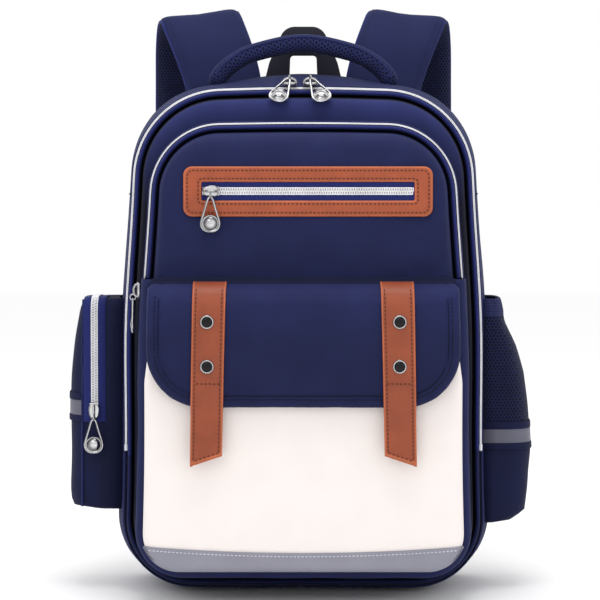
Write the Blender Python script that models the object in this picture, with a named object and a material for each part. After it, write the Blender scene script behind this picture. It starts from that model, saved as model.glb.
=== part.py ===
"""School backpack: shell, padding, pockets, flap, zips, straps and hardware.

Frame: origin on the floor under the main compartment, +X to the bag's right seen from
the front, the front faces -Y, +Z up. Sizes are in millimetres and become metres when a
mesh is made. "Left" and "right" are as seen from the front.
"""
import math
from collections import namedtuple

import bmesh
import bpy
from mathutils import Vector

MM = 0.001
GAP = 0.3            # clearance between touching pieces
CLOTH = 3.0          # thickness of a padded fabric wall

# A face outline in the XZ plane: half widths at two heights, bottom, top, corner radii
# and how far the top edge arches above its corners.
Face = namedtuple("Face", "half_low half_high bottom top r_low r_top crown")
LOW_STATION = 60.0
HIGH_STATION = 340.0
FLAT_CROWN = 0.4       # least arch of a top edge, so that every outline has the same points
CROWN_RUN = 45.0       # half length of the rounded peak in the middle of a top edge

REAR = Face(154.5, 142, 0, 435, 58, 70, 24)
BELLY = Face(156, 144.3, 0, 433, 58, 72, 22)
ZIP_EDGE = Face(149.3, 141.2, 0, 419, 57, 66, 4)
GROOVE = Face(139.6, 132.5, 10, 411, 50, 62, 3)
DOOR_FACE = Face(136.5, 128.5, 15, 405, 45, 58, 3)
FRONT_ZIP = Face(134.5, 123.6, 21, 388.5, 37, 57, 2)
POCKET = Face(128.3, 119.5, 28, 300, 30, 20, 0)
FLAP = Face(124.5, 119, 161, 257.5, 44, 3, 0)

# The sides swell gently: the widest swelling, its height and how far it reaches.
SWELLING = 0.026
SWELL_HEIGHT = 225.0
SWELL_REACH = 80.0

# Depth stations, back to front.
BACK_Y = 80.0
SEAM_Y = 71.7
BELLY_Y = 30.0
MOUTH_Y = -24.0
DOOR_BACK_Y = -28.3
GROOVE_Y = -40.0
DOOR_Y = -44.0
WALL_FRONT_Y = -63.7
COVER_BACK_Y = -68.6
COVER_Y = -84.0
POCKET_Y = -97.0
FLAP_BACK_Y = -99.0
FLAP_Y = -107.0

DOOR_LINE = 112.0      # height where the front folds down
ZIP_END = 122.0        # where the main zip stops on each side
COVER_LINE = 262.0     # lower edge of the front compartment's cover
TOP_SEAM = 330.0       # seam between the side gusset and the top gusset
POCKET_MOUTH = 232.0   # hidden mouth of the cream pocket, under the flap

FRAME_X = 3.7          # middle of the leather frame
LEATHER_THICK = 2.5
SNAP_RADIUS = 5.3
SNAP_HEIGHTS = (228.0, 194.0)
SNAP_X = 76.0

STRAP_WIDTH = 64.0
STRAP_THICK = 11.0
WEBBING_WIDTH = 25.0
WEBBING_THICK = 1.8
LOCK_SIZE = (32.0, 5.0, 22.0)

PALETTE = {
    "navy": ((0.035, 0.042, 0.11), 0.8, 0.0),
    "navy_mesh": ((0.05, 0.06, 0.13), 0.9, 0.0),
    "blue_tape": ((0.03, 0.05, 0.35), 0.7, 0.0),
    "black": ((0.012, 0.012, 0.015), 0.85, 0.0),
    "white": ((0.85, 0.85, 0.85), 0.4, 0.0),
    "cream": ((0.88, 0.84, 0.80), 0.75, 0.0),
    "grey": ((0.28, 0.29, 0.36), 0.45, 0.0),
    "leather": ((0.42, 0.14, 0.07), 0.5, 0.0),
    "steel": ((0.6, 0.6, 0.62), 0.2, 1.0),
}


# ---------------------------------------------------------------- mesh helpers

def clear_scene():
    for obj in list(bpy.data.objects):
        bpy.data.objects.remove(obj, do_unlink=True)


def material(colour, name):
    rgb, roughness, metallic = PALETTE[colour]
    mat = bpy.data.materials.new(name + "_material")
    mat.use_nodes = True
    shader = mat.node_tree.nodes["Principled BSDF"]
    shader.inputs["Base Color"].default_value = (*rgb, 1.0)
    shader.inputs["Roughness"].default_value = roughness
    shader.inputs["Metallic"].default_value = metallic
    mat.diffuse_color = (*rgb, 1.0)
    return mat


def add_skin(bm, rings, loop=False):
    """Join rings of points with quads; close the ends with caps, or the last to the first."""
    verts = [[bm.verts.new(Vector(p) * MM) for p in ring] for ring in rings]
    count = len(rings[0])
    pairs = list(zip(verts, verts[1:]))
    if loop:
        pairs.append((verts[-1], verts[0]))
    for a, b in pairs:
        for i in range(count):
            j = (i + 1) % count
            bm.faces.new((a[i], a[j], b[j], b[i]))
    if not loop:
        bm.faces.new(verts[0])
        bm.faces.new(verts[-1])


def finish(bm, name, colour, pivot=None):
    """Turn a bmesh into a named object whose origin is at the pivot, if it has one."""
    bmesh.ops.recalc_face_normals(bm, faces=bm.faces)
    mesh = bpy.data.meshes.new(name)
    bm.to_mesh(mesh)
    bm.free()
    obj = bpy.data.objects.new(name, mesh)
    bpy.context.collection.objects.link(obj)
    mesh.materials.append(material(colour, name))
    if pivot is not None:
        place = Vector(pivot) * MM
        for vertex in mesh.vertices:
            vertex.co -= place
        obj.location = place
    return obj


def skin(name, colour, rings, loop=False, pivot=None):
    bm = bmesh.new()
    add_skin(bm, rings, loop)
    return finish(bm, name, colour, pivot)


def box(name, colour, low, high):
    rings = [[(low[0], low[1], z), (high[0], low[1], z), (high[0], high[1], z), (low[0], high[1], z)]
             for z in (low[2], high[2])]
    return skin(name, colour, rings)


def combine(obj, tool, operation):
    """Apply one exact Boolean and remove the tool."""
    modifier = obj.modifiers.new("combine", "BOOLEAN")
    modifier.operation = operation
    modifier.object = tool
    bpy.context.view_layer.update()
    result = bpy.data.meshes.new_from_object(obj.evaluated_get(bpy.context.evaluated_depsgraph_get()))
    obj.modifiers.remove(modifier)
    obj.data = result
    bpy.data.objects.remove(tool, do_unlink=True)


def cut(obj, tool):
    combine(obj, tool, "DIFFERENCE")


def keep_heights(obj, low, high):
    """Keep only the part of the object between two heights."""
    combine(obj, box("tool", "navy", (-400, -400, low), (400, 400, high)), "INTERSECT")


# ---------------------------------------------------------------- outlines

def fillet(corners, segments):
    """Polygon points with each (x, z, radius) corner turned into an arc."""
    points = []
    count = len(corners)
    for i, (x, z, radius) in enumerate(corners):
        here = Vector((x, z))
        before = (Vector(corners[i - 1][:2]) - here).normalized()
        after = (Vector(corners[(i + 1) % count][:2]) - here).normalized()
        half = before.angle(after) / 2
        if radius <= 0:
            points.append((x, z))
            continue
        centre = here + (before + after).normalized() * radius / math.sin(half)
        start = here + before * radius / math.tan(half) - centre
        end = here + after * radius / math.tan(half) - centre
        turn = start.angle_signed(end)
        first = math.atan2(start.y, start.x)
        for k in range(segments + 1):
            angle = first - turn * k / segments
            points.append((centre.x + radius * math.cos(angle), centre.y + radius * math.sin(angle)))
    return points


def straight_half(face, z):
    slope = (face.half_high - face.half_low) / (HIGH_STATION - LOW_STATION)
    return face.half_low + slope * (z - LOW_STATION)


def swell(z):
    return 1 + SWELLING * math.exp(-((z - SWELL_HEIGHT) / SWELL_REACH) ** 2)


def half_width(face, z):
    return straight_half(face, z) * swell(z)


def between(a, b, count=5):
    """Points inside a straight run."""
    steps = [(k + 1) / (count + 1) for k in range(count)]
    return [(a[0] + (b[0] - a[0]) * t, a[1] + (b[1] - a[1]) * t) for t in steps]


def outline(face, segments=7):
    low = straight_half(face, face.bottom)
    crown = max(face.crown, FLAT_CROWN)
    shoulder = face.top - crown
    high = straight_half(face, shoulder)
    crown_radius = CROWN_RUN * high / crown
    corners = [
        (low, face.bottom, face.r_low),
        (high, shoulder, face.r_top),
        (0, face.top, crown_radius),
        (-high, shoulder, face.r_top),
        (-low, face.bottom, face.r_low),
    ]
    points = fillet(corners, segments)
    n = segments + 1
    right = between(points[n - 1], points[n])
    left = between(points[-n - 1], points[-n])
    points = points[:n] + right + points[n:-n] + left + points[-n:]
    return [(x * swell(z), z) for x, z in points]


def inset(face, side, top=None, bottom=None):
    top = side if top is None else top
    bottom = side if bottom is None else bottom
    return face._replace(
        half_low=face.half_low - side, half_high=face.half_high - side,
        bottom=face.bottom + bottom, top=face.top - top,
        r_low=max(face.r_low - side, 2), r_top=max(face.r_top - side, 2))


def ring_at(y, points):
    return [(x, y, z) for x, z in points]


def slab(name, colour, layers):
    """Solid through a list of (y, face) layers."""
    return skin(name, colour, [ring_at(y, outline(face)) for y, face in layers])


def band(name, colour, layers, wall=CLOTH):
    """Ring-shaped wall through (y, face) layers, wall millimetres thick."""
    outer = [ring_at(y, outline(face)) for y, face in layers]
    inner = [ring_at(y, outline(inset(face, wall))) for y, face in reversed(layers)]
    return skin(name, colour, outer + inner, loop=True)


def plate(name, colour, points, y_front, y_back):
    """Flat prism of an XZ outline."""
    return skin(name, colour, [ring_at(y_front, points), ring_at(y_back, points)])


def rounded_box_outline(x0, x1, z0, z1, radius, segments=4):
    return fillet([(x1, z0, radius), (x1, z1, radius), (x0, z1, radius), (x0, z0, radius)], segments)


# ---------------------------------------------------------------- sweeps

def smooth_path(points, steps):
    """Catmull-Rom curve through the points."""
    pts = [Vector(p) for p in points]
    pts = [2 * pts[0] - pts[1]] + pts + [2 * pts[-1] - pts[-2]]
    path = []
    for a, b, c, d in zip(pts, pts[1:], pts[2:], pts[3:]):
        for k in range(steps):
            t = k / steps
            path.append(0.5 * (2 * b + (c - a) * t + (2 * a - 5 * b + 4 * c - d) * t * t
                               + (3 * b - a - 3 * c + d) * t ** 3))
    path.append(pts[-2])
    return path


def strip(name, colour, path, across, width, thick):
    """Strap swept along a path; width and thick are functions of the fraction along it."""
    rings = []
    last = len(path) - 1
    for i, point in enumerate(path):
        tangent = (path[min(i + 1, last)] - path[max(i - 1, 0)]).normalized()
        side = (across - tangent * across.dot(tangent)).normalized()
        normal = tangent.cross(side)
        w = width(i / last) / 2
        t = thick(i / last) / 2
        bevel = min(w, t) * 0.5
        section = [(w, -t + bevel), (w, t - bevel), (w - bevel, t), (bevel - w, t),
                   (-w, t - bevel), (-w, bevel - t), (bevel - w, -t), (w - bevel, -t)]
        rings.append([tuple(point + side * a + normal * b) for a, b in section])
    return skin(name, colour, rings)


def constant(value):
    return lambda fraction: value


# ---------------------------------------------------------------- main shell

def main_shell():
    layers = [(SEAM_Y, REAR), (BELLY_Y, BELLY), (MOUTH_Y, ZIP_EDGE)]
    keep_heights(band("top_gusset", "navy", layers), TOP_SEAM + GAP, 500)
    keep_heights(band("lower_gusset", "navy", layers), -10, TOP_SEAM)
    panel = inset(REAR, 3.4, bottom=4.4)
    slab("back_panel", "navy_mesh", [(SEAM_Y + GAP, panel), (BACK_Y, panel)])
    binding = [(SEAM_Y + GAP, inset(REAR, -1, bottom=0)), (BACK_Y - 1, inset(REAR, -1, bottom=0))]
    band("rear_binding", "black", binding, wall=3.7)


def back_padding():
    """Two upright cushions behind the back panel."""
    for side, name in ((-1, "back_pad_left"), (1, "back_pad_right")):
        inner, outer = sorted((side * 14, side * 112))
        rim = rounded_box_outline(inner, outer, 52, 362, 24)
        top = rounded_box_outline(inner + 6, outer - 6, 58, 356, 20)
        rings = [ring_at(BACK_Y + GAP, rim), ring_at(BACK_Y + 5, rim), ring_at(BACK_Y + 10, top)]
        skin(name, "navy_mesh", rings)


def main_zip():
    rear = [(MOUTH_Y - GAP, inset(ZIP_EDGE, 0.5)), (-26.0, inset(ZIP_EDGE, 0.5))]
    keep_heights(band("main_zip_rear", "white", rear, wall=6.5), ZIP_END, 500)
    front = [(-26.3, inset(ZIP_EDGE, 2.5)), (DOOR_BACK_Y + GAP, inset(ZIP_EDGE, 2.5))]
    keep_heights(band("main_zip_front", "blue_tape", front, wall=9), ZIP_END, 500)


def front_panels():
    """The panel behind the front compartment: its lower part is fixed, the rest is the door."""
    door = [(DOOR_BACK_Y, inset(ZIP_EDGE, 5.5)), (-36, inset(ZIP_EDGE, 7)),
            (GROOVE_Y, GROOVE), (DOOR_Y, DOOR_FACE)]
    keep_heights(slab("door_panel", "navy", door), DOOR_LINE + GAP, 500)
    lower = [(MOUTH_Y - GAP, inset(ZIP_EDGE, 0.5)), (DOOR_BACK_Y, inset(ZIP_EDGE, 3))] + door[1:]
    keep_heights(slab("lower_front_panel", "navy", lower), -10, DOOR_LINE)


# ---------------------------------------------------------------- front compartment

def front_compartment():
    """Tray behind the cover. Above the cover line its face gives way to the zip and the cover."""
    body = [(DOOR_Y - GAP, inset(FRONT_ZIP, -1.5)), (WALL_FRONT_Y, FRONT_ZIP), (-75.5, inset(FRONT_ZIP, 1)),
            (-81, inset(FRONT_ZIP, 4)), (COVER_Y, inset(FRONT_ZIP, 9))]
    hollow = [(DOOR_Y + 5, inset(FRONT_ZIP, CLOTH - 1.5)), (WALL_FRONT_Y, inset(FRONT_ZIP, CLOTH)),
              (WALL_FRONT_Y - 8, inset(FRONT_ZIP, CLOTH + 2))]
    for name, low, high in (("compartment", DOOR_LINE + GAP, 500), ("lower_compartment", -10, DOOR_LINE)):
        tray = slab(name, "navy", body)
        cut(tray, slab("tool", "navy", hollow))
        keep_heights(tray, low, high)
        if high > COVER_LINE:
            cut(tray, box("tool", "navy", (-200, -120, COVER_LINE - GAP), (200, WALL_FRONT_Y, 500)))

    rear = [(WALL_FRONT_Y - GAP, inset(FRONT_ZIP, 0.5)), (-66, inset(FRONT_ZIP, 0.5))]
    keep_heights(band("front_zip_rear", "blue_tape", rear, wall=5), COVER_LINE + GAP, 500)
    front = [(-66.3, inset(FRONT_ZIP, 0.5)), (COVER_BACK_Y + GAP, inset(FRONT_ZIP, 1))]
    keep_heights(band("front_zip_front", "white", front, wall=5), COVER_LINE + GAP, 500)

    cover = [(COVER_BACK_Y, inset(FRONT_ZIP, 1)), (-76, inset(FRONT_ZIP, 3.5)), (-80.5, inset(FRONT_ZIP, 8)),
             (COVER_Y, inset(FRONT_ZIP, 14))]
    keep_heights(slab("cover_panel", "navy", cover), COVER_LINE + GAP, 500)


def leather_framed_pocket():
    """Leather frame round a straight zip on the cover."""
    left, right = FRAME_X - 99.5, FRAME_X + 99.5
    outer = rounded_box_outline(left, right, 312, 352, 6)
    window = rounded_box_outline(left + 14.5, right - 14.5, 325, 339.5, 1)
    front, back = COVER_Y - GAP - 2.0, COVER_Y - GAP
    rings = [ring_at(front, outer), ring_at(back, outer), ring_at(back, window), ring_at(front, window)]
    skin("leather_frame", "leather", rings, loop=True)
    tape = [(left + 15, 325.5), (right - 15, 325.5), (right - 15, 339), (left + 15, 339)]
    plate("frame_zip", "white", tape, front + 0.8, back)


def cream_pocket():
    """Patch pocket: front skin and side walls in one piece, open at the top under the flap."""
    body = [(COVER_Y - GAP, POCKET), (-92, POCKET), (POCKET_Y, inset(POCKET, 5))]
    hollow = [(COVER_Y + 5, inset(POCKET, CLOTH)), (-90, inset(POCKET, CLOTH)),
              (POCKET_Y + CLOTH, inset(POCKET, 7))]
    for name, low, high in (("pocket_upper", DOOR_LINE + GAP, POCKET_MOUTH),
                            ("pocket_lower", -10, DOOR_LINE)):
        pocket = slab(name, "cream", body)
        cut(pocket, slab("tool", "cream", hollow))
        keep_heights(pocket, low, high)
    sash = [(POCKET_Y - GAP, inset(POCKET, 5.2)), (POCKET_Y - GAP - 0.8, inset(POCKET, 5.6))]
    keep_heights(slab("reflective_band", "grey", sash), -10, 47)


# ---------------------------------------------------------------- flap

def dome(name, colour, x, y, z, height):
    """Low dome facing the front."""
    rings = []
    for depth, radius in ((0, SNAP_RADIUS), (0.5, SNAP_RADIUS), (1, SNAP_RADIUS * 0.62)):
        rings.append([(x + radius * math.cos(a), y - height * depth, z + radius * math.sin(a))
                      for a in (k * math.tau / 14 for k in range(14))])
    skin(name, colour, rings)


def flap():
    panel = inset(FLAP, 9.3, top=0)
    layers = [(FLAP_BACK_Y, panel), (FLAP_Y + 2, panel), (FLAP_Y, inset(panel, 4, top=4))]
    slab("flap_panel", "navy", layers)
    rim = [ring_at(y, outline(FLAP)) for y in (FLAP_BACK_Y, FLAP_Y + 2.5)]
    hem = inset(FLAP, 9, top=0)
    hollow = hem._replace(top=hem.top + 20)
    binding = skin("flap_binding", "navy", rim)
    cut(binding, plate("tool", "navy", outline(hollow), FLAP_Y - 5, FLAP_BACK_Y + 5))
    for side, name in ((-1, "leather_strap_left"), (1, "leather_strap_right")):
        shape = [(side * 87.5, 259.5), (side * 61, 259.5), (side * 64.5, 122.7), (side * 89.9, 114.2)]
        front = FLAP_Y - GAP - LEATHER_THICK
        plate(name, "leather", shape, front, FLAP_Y - GAP)
    cap_y = FLAP_Y - 2 * GAP - LEATHER_THICK
    for side, tag in ((-1, "left"), (1, "right")):
        for height, kind in zip(SNAP_HEIGHTS, ("rivet_", "snap_cap_")):
            dome(kind + tag, "black", side * SNAP_X, cap_y, height, 2.0)
        dome("snap_stud_" + tag, "steel", side * SNAP_X, POCKET_Y - GAP, SNAP_HEIGHTS[1], 1.3)


# ---------------------------------------------------------------- side pockets

POCKET_MID_Y = 24.0
POCKET_HALF_Y = 38.0
POCKET_LIFT = 0.6      # clearance between a side pocket and the gusset


def body_side(y, z):
    """Half width of the gusset's outside at a depth and height."""
    if y > BELLY_Y:
        a, b, t = BELLY, REAR, (y - BELLY_Y) / (SEAM_Y - BELLY_Y)
    else:
        a, b, t = BELLY, ZIP_EDGE, (BELLY_Y - y) / (BELLY_Y - MOUTH_Y)
    return half_width(a, z) * (1 - t) + half_width(b, z) * t


def pocket_arc(z, outer, shrink, side, count=14, tuck=0.0):
    """Plan curve of a side pocket at one height, from its front seam round to its rear seam."""
    points = []
    for k in range(count + 1):
        angle = math.radians(-90 + 180 * k / count)
        y = POCKET_MID_Y + (POCKET_HALF_Y - shrink) * math.copysign(abs(math.sin(angle)) ** 0.7, angle)
        base = body_side(y, z) + POCKET_LIFT - tuck
        reach = outer - shrink - base
        points.append((side * (base + reach * max(math.cos(angle), 0) ** 0.45), y, z))
    return points


REFLECTOR_EDGE = -184.0      # the strip starts outside the zip


def left_outer(z):
    return 195.7 - 10 * max((z - 150) / 93, 0) ** 2


BOTTLE_PROFILE = [(55, 175), (66, 186.5), (87, 190), (118, 191.3), (148, 189.5), (181, 185.5), (205, 178),
                  (228, 168), (243, 165)]


def bottle_outer(z):
    for (z0, x0), (z1, x1) in zip(BOTTLE_PROFILE, BOTTLE_PROFILE[1:]):
        if z <= z1:
            t = max((z - z0) / (z1 - z0), 0)
            return x0 + (x1 - x0) * t
    return BOTTLE_PROFILE[-1][1]


def pocket_wall(name, colour, side, outer, heights, wall=2.5, lift=0.0):
    """C-shaped wall of a side pocket between heights; lift moves it outwards as a second layer."""
    rings = []
    for z in heights:
        outside = pocket_arc(z, outer(z) + lift, 0, side)
        inside = pocket_arc(z, outer(z) + lift, wall, side)
        rings.append(outside + inside[::-1])
    return skin(name, colour, rings)


def pocket_solid(name, colour, side, outer, heights, shrink=0.0, tuck=0.0):
    rings = []
    for z in heights:
        belly = (side * (body_side(BELLY_Y, z) + POCKET_LIFT - tuck), BELLY_Y, z)
        rings.append(pocket_arc(z, outer(z), shrink, side, tuck=tuck) + [belly])
    return skin(name, colour, rings)


def left_pocket():
    heights = (67, 72, 110, 150, 190, 222, 238, 243)
    pocket = pocket_solid("left_pocket", "navy", -1, left_outer, heights)
    cut(pocket, pocket_solid("tool", "navy", -1, left_outer, (70, 110, 150, 190, 222, 240), 2.5, 8))
    front = POCKET_MID_Y - POCKET_HALF_Y - GAP
    shape = rounded_box_outline(-180.5, -166.5, 72, 238, 3)
    plate("left_pocket_zip", "white", shape, front - 1.6, front)
    rings = []
    for z in (143, 157):
        near = [p for p in pocket_arc(z, left_outer(z) + 0.4, -0.4, -1) if p[0] < REFLECTOR_EDGE]
        far = [p for p in pocket_arc(z, left_outer(z) + 1.4, -1.4, -1) if p[0] < REFLECTOR_EDGE]
        size = min(len(near), len(far))
        rings.append(far[:size] + near[:size][::-1])
    skin("left_pocket_reflector", "grey", rings)


def bottle_pocket():
    base = pocket_solid("bottle_pocket_base", "navy", 1, bottle_outer, (55, 66, 87, 116.7))
    cut(base, pocket_solid("tool", "navy", 1, bottle_outer, (58.5, 66, 87, 130), 2.5, 8))
    pocket_wall("bottle_pocket_reflector", "grey", 1, bottle_outer, (117, 139))
    pocket_wall("bottle_pocket_mesh", "navy_mesh", 1, bottle_outer, (139.3, 160, 181, 205, 227.7))
    pocket_wall("bottle_pocket_cuff", "navy", 1, bottle_outer, (228, 243))


# ---------------------------------------------------------------- straps and handles

PAD_PATH = [(68, 88, 401), (70, 91, 428), (81, 101, 462), (92, 122, 483), (97, 146, 464), (98, 154, 420),
            (98.5, 152, 360), (102, 147, 300), (107, 140, 240), (112, 132, 190)]
LOWER_WEBBING_PATH = [(131, 87, 34), (128, 98, 68), (120, 116, 118), (113, 126, 162)]
TAIL_PATH = [(112, 133, 182), (112, 138, 150), (111, 140, 110), (111, 139, 72)]
ACROSS = Vector((1, 0, 0))


def mirrored(points, side):
    return [(side * x, y, z) for x, y, z in points]


def shoulder_straps():
    for side, tag in ((-1, "left"), (1, "right")):
        path = smooth_path(mirrored(PAD_PATH, side), 3)
        strip("shoulder_pad_" + tag, "navy_mesh", path, ACROSS, pad_width, constant(STRAP_THICK))
        path = smooth_path(mirrored(LOWER_WEBBING_PATH, side), 3)
        strip("webbing_lower_" + tag, "black", path, ACROSS,
              constant(WEBBING_WIDTH), constant(WEBBING_THICK))
        path = smooth_path(mirrored(TAIL_PATH, side), 3)
        strip("webbing_tail_" + tag, "black", path, ACROSS,
              constant(WEBBING_WIDTH), constant(WEBBING_THICK))
        ladder_lock("ladder_lock_" + tag, side * 112)


def pad_width(fraction):
    """Full width over the shoulder, narrowing to the ladder lock."""
    taper = max((fraction - 0.75) / 0.25, 0)
    return STRAP_WIDTH - 26 * taper


def ladder_lock(name, x):
    width, depth, height = LOCK_SIZE
    y, z = 126, 175
    frame = rounded_box_outline(x - width / 2, x + width / 2, z - height / 2, z + height / 2, 3, 2)
    lock = plate(name, "black", frame, y - depth / 2, y + depth / 2)
    for offset in (-5.2, 5.2):
        slot = (x - 13, y - 10, z + offset - 2.2), (x + 13, y + 10, z + offset + 2.2)
        cut(lock, box("tool", "black", *slot))


def strap_anchors():
    yoke = rounded_box_outline(-103, 103, 374, 398.5, 6)
    plate("strap_yoke", "navy", yoke, BACK_Y + GAP, BACK_Y + 12)
    for side, tag in ((-1, "left"), (1, "right")):
        shape = [(side * x, z) for x, z in ((146, 26), (116, 14), (114, 30), (136, 48))]
        plate("strap_tab_" + tag, "navy", shape, BACK_Y + GAP, BACK_Y + 4)


def grab_handle():
    points = [(-84, BELLY_Y, 429), (-70, BELLY_Y, 436), (-42, BELLY_Y, 450), (0, BELLY_Y, 457.5),
              (42, BELLY_Y, 450), (70, BELLY_Y, 436), (84, BELLY_Y, 429)]
    path = smooth_path(points, 4)
    strip("grab_handle", "navy_mesh", path, Vector((0, 1, 0)),
          lambda f: 8 + 14 * math.sin(math.pi * f) ** 0.5,
          lambda f: 6 + 9 * math.sin(math.pi * f) ** 0.5)


def hanging_loop():
    """Flat folded webbing: two legs and a top band."""
    half, leg, foot, top = 32.0, 20.5, 437.0, 474.0
    outer = fillet([(half, foot, 0), (half, top, 17), (-half, top, 17), (-half, foot, 0)], 6)
    loop = plate("hanging_loop", "black", outer, 73.5, 76.5)
    window = fillet([(half - leg, foot - 9, 0), (half - leg, top - 25, 3),
                     (leg - half, top - 25, 3), (leg - half, foot - 9, 0)], 3)
    cut(loop, plate("tool", "black", window, 60, 90))


# ---------------------------------------------------------------- zip sliders and pulls

MEETING_X = -2.7       # where the two main sliders meet
SLIDER_LONG = 13.0
SLIDER_WIDE = 9.0
SLIDER_HIGH = 3.6
PULL_LONG = 31.0
PULL_HALF = 8.5
PULL_THICK = 2.2


def frame_axes(along, outward):
    along = Vector(along).normalized()
    outward = Vector(outward).normalized()
    return along, along.cross(outward).normalized(), outward


def slider(name, centre, along, outward):
    """Slider body sitting on the outside of a zip chain."""
    a, side, out = frame_axes(along, outward)
    rings = []
    for height, shrink in ((0, 0), (0.6, 0), (1, 1.6)):
        u, v = SLIDER_LONG / 2 - shrink, SLIDER_WIDE / 2 - shrink
        shape = ((u, -v * 0.7), (u, v * 0.7), (u * 0.4, v), (-u, v * 0.8), (-u, -v * 0.8), (u * 0.4, -v))
        level = Vector(centre) + out * height * SLIDER_HIGH
        rings.append([tuple(level + a * p + side * q) for p, q in shape])
    skin(name, "steel", rings, pivot=centre)


def teardrop(length, half, start, count=16):
    """Closed teardrop: a point at start, widening to a round end."""
    points = []
    for k in range(count):
        angle = math.tau * k / count
        u = start + length * (1 - math.cos(angle)) / 2
        v = half * math.sin(angle) * math.sin(angle / 2) ** 1.1
        if k not in (0, count // 2):
            v += 0.25 * math.copysign(half, math.sin(angle))
        points.append((u, v))
    return points


def pull(name, pivot, direction, outward):
    """Teardrop ring hanging from the pivot, with a solid round end."""
    down, side, out = frame_axes(direction, outward)
    outer = teardrop(PULL_LONG, PULL_HALF * 0.8, -1.0)
    hole = teardrop(PULL_LONG * 0.55, PULL_HALF * 0.5, 2.0)
    rings = []
    for points, level in ((outer, -0.5), (outer, 0.5), (hole, 0.5), (hole, -0.5)):
        plane = Vector(pivot) + out * level * PULL_THICK
        rings.append([tuple(plane + down * u + side * v) for u, v in points])
    skin(name, "steel", rings, loop=True, pivot=pivot)


def sliders():
    for side, tag in ((-1, "left"), (1, "right")):
        x = MEETING_X + side * 8.4
        slider("main_slider_" + tag, (x, -26, 420.2), (side, 0, 0), (0, -0.25, 1))
        pull("main_pull_" + tag, (x, -32, 425.5), (side * 0.38, -0.64, -0.66), (0, -0.72, 0.69))
    slider("front_slider", (-131.9, -66, 252), (0, 0, 1), (-1, -0.1, 0))
    pull("front_pull", (-137.4, -66.5, 248), (0, 0, -1), (-1, 0, 0))
    slider("frame_slider", (-74, -86.9, 332.3), (1, 0, 0), (0, -1, 0))
    pull("frame_pull", (-74, -92.5, 330), (0, 0, -1), (0, -1, 0))
    slider("side_slider", (-173.5, POCKET_MID_Y - POCKET_HALF_Y - 2.3, 150), (0, 0, 1), (0, -1, 0))
    pull("side_pull", (-173.5, POCKET_MID_Y - POCKET_HALF_Y - 7.6, 146), (0, 0, -1), (0, -1, 0))


# ---------------------------------------------------------------- joints

# Each hinge: its parent hinge, a point on its axis, and the pieces that turn with it.
HINGES = {
    "door_hinge": (None, (0, -97.3, DOOR_LINE),
                   ["door_panel", "main_zip_front", "compartment", "front_zip_rear", "pocket_upper",
                    "snap_stud_left", "snap_stud_right", "main_slider_left", "main_slider_right"]),
    "cover_hinge": ("door_hinge", (0, -90, 250),
                    ["cover_panel", "front_zip_front", "leather_frame", "frame_zip", "frame_slider",
                     "front_slider"]),
    "flap_hinge": ("door_hinge", (0, FLAP_BACK_Y, 260),
                   ["flap_panel", "flap_binding", "leather_strap_left", "leather_strap_right",
                    "rivet_left", "rivet_right", "snap_cap_left", "snap_cap_right"]),
    "strap_hinge_left": (None, (-66, 91, 428),
                         ["shoulder_pad_left", "ladder_lock_left", "webbing_tail_left"]),
    "strap_hinge_right": (None, (66, 91, 428),
                          ["shoulder_pad_right", "ladder_lock_right", "webbing_tail_right"]),
    "handle_hinge": (None, (0, BELLY_Y, 425), ["grab_handle"]),
    "loop_hinge": (None, (0, 75, 437), ["hanging_loop"]),
}
PULLS = {"main_slider_left": "main_pull_left", "main_slider_right": "main_pull_right",
         "front_slider": "front_pull", "frame_slider": "frame_pull", "side_slider": "side_pull"}


def attach(child, parent):
    """Parent without moving the child."""
    bpy.context.view_layer.update()
    child.parent = parent
    child.matrix_parent_inverse = parent.matrix_world.inverted()


def assemble():
    """Hang the moving pieces on an empty at each hinge, and each pull on its slider."""
    objects = bpy.data.objects
    for name, (parent, point, pieces) in HINGES.items():
        hinge = objects.new(name, None)
        bpy.context.collection.objects.link(hinge)
        hinge.location = Vector(point) * MM
        if parent:
            attach(hinge, objects[parent])
        for piece in pieces:
            attach(objects[piece], hinge)
    for carrier, pulled in PULLS.items():
        attach(objects[pulled], objects[carrier])


def build():
    clear_scene()
    main_shell()
    back_padding()
    main_zip()
    front_panels()
    front_compartment()
    leather_framed_pocket()
    cream_pocket()
    flap()
    left_pocket()
    bottle_pocket()
    shoulder_straps()
    strap_anchors()
    grab_handle()
    hanging_loop()
    sliders()
    assemble()


build()
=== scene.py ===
"""Looks of the school backpack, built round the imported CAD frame. Sizes in millimetres unless said."""

import math
from collections import namedtuple

import bmesh
import bpy
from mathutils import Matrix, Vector, kdtree, noise


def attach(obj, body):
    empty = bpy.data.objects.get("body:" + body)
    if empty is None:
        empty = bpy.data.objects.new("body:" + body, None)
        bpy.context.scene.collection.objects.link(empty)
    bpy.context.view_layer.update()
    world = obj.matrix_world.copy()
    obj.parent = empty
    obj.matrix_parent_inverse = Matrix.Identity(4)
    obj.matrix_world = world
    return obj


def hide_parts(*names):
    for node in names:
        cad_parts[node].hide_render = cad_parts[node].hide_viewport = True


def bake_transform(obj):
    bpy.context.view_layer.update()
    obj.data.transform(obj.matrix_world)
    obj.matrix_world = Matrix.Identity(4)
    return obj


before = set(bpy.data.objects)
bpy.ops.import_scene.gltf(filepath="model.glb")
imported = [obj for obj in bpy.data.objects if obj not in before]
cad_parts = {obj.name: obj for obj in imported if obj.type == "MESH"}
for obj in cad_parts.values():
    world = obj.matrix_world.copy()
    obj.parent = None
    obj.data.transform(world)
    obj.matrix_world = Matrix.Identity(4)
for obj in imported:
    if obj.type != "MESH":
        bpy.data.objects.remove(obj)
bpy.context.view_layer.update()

MM = 0.001
TAU = math.tau
FRONT, BACK, UP = (0, -1, 0), (0, 1, 0), (0, 0, 1)
SIDES = ((-1, "left"), (1, "right"))
CORNER_STEPS = 16
SHARP = 1.05      # edges that turn more than this, in radians, are shaded sharp

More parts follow.
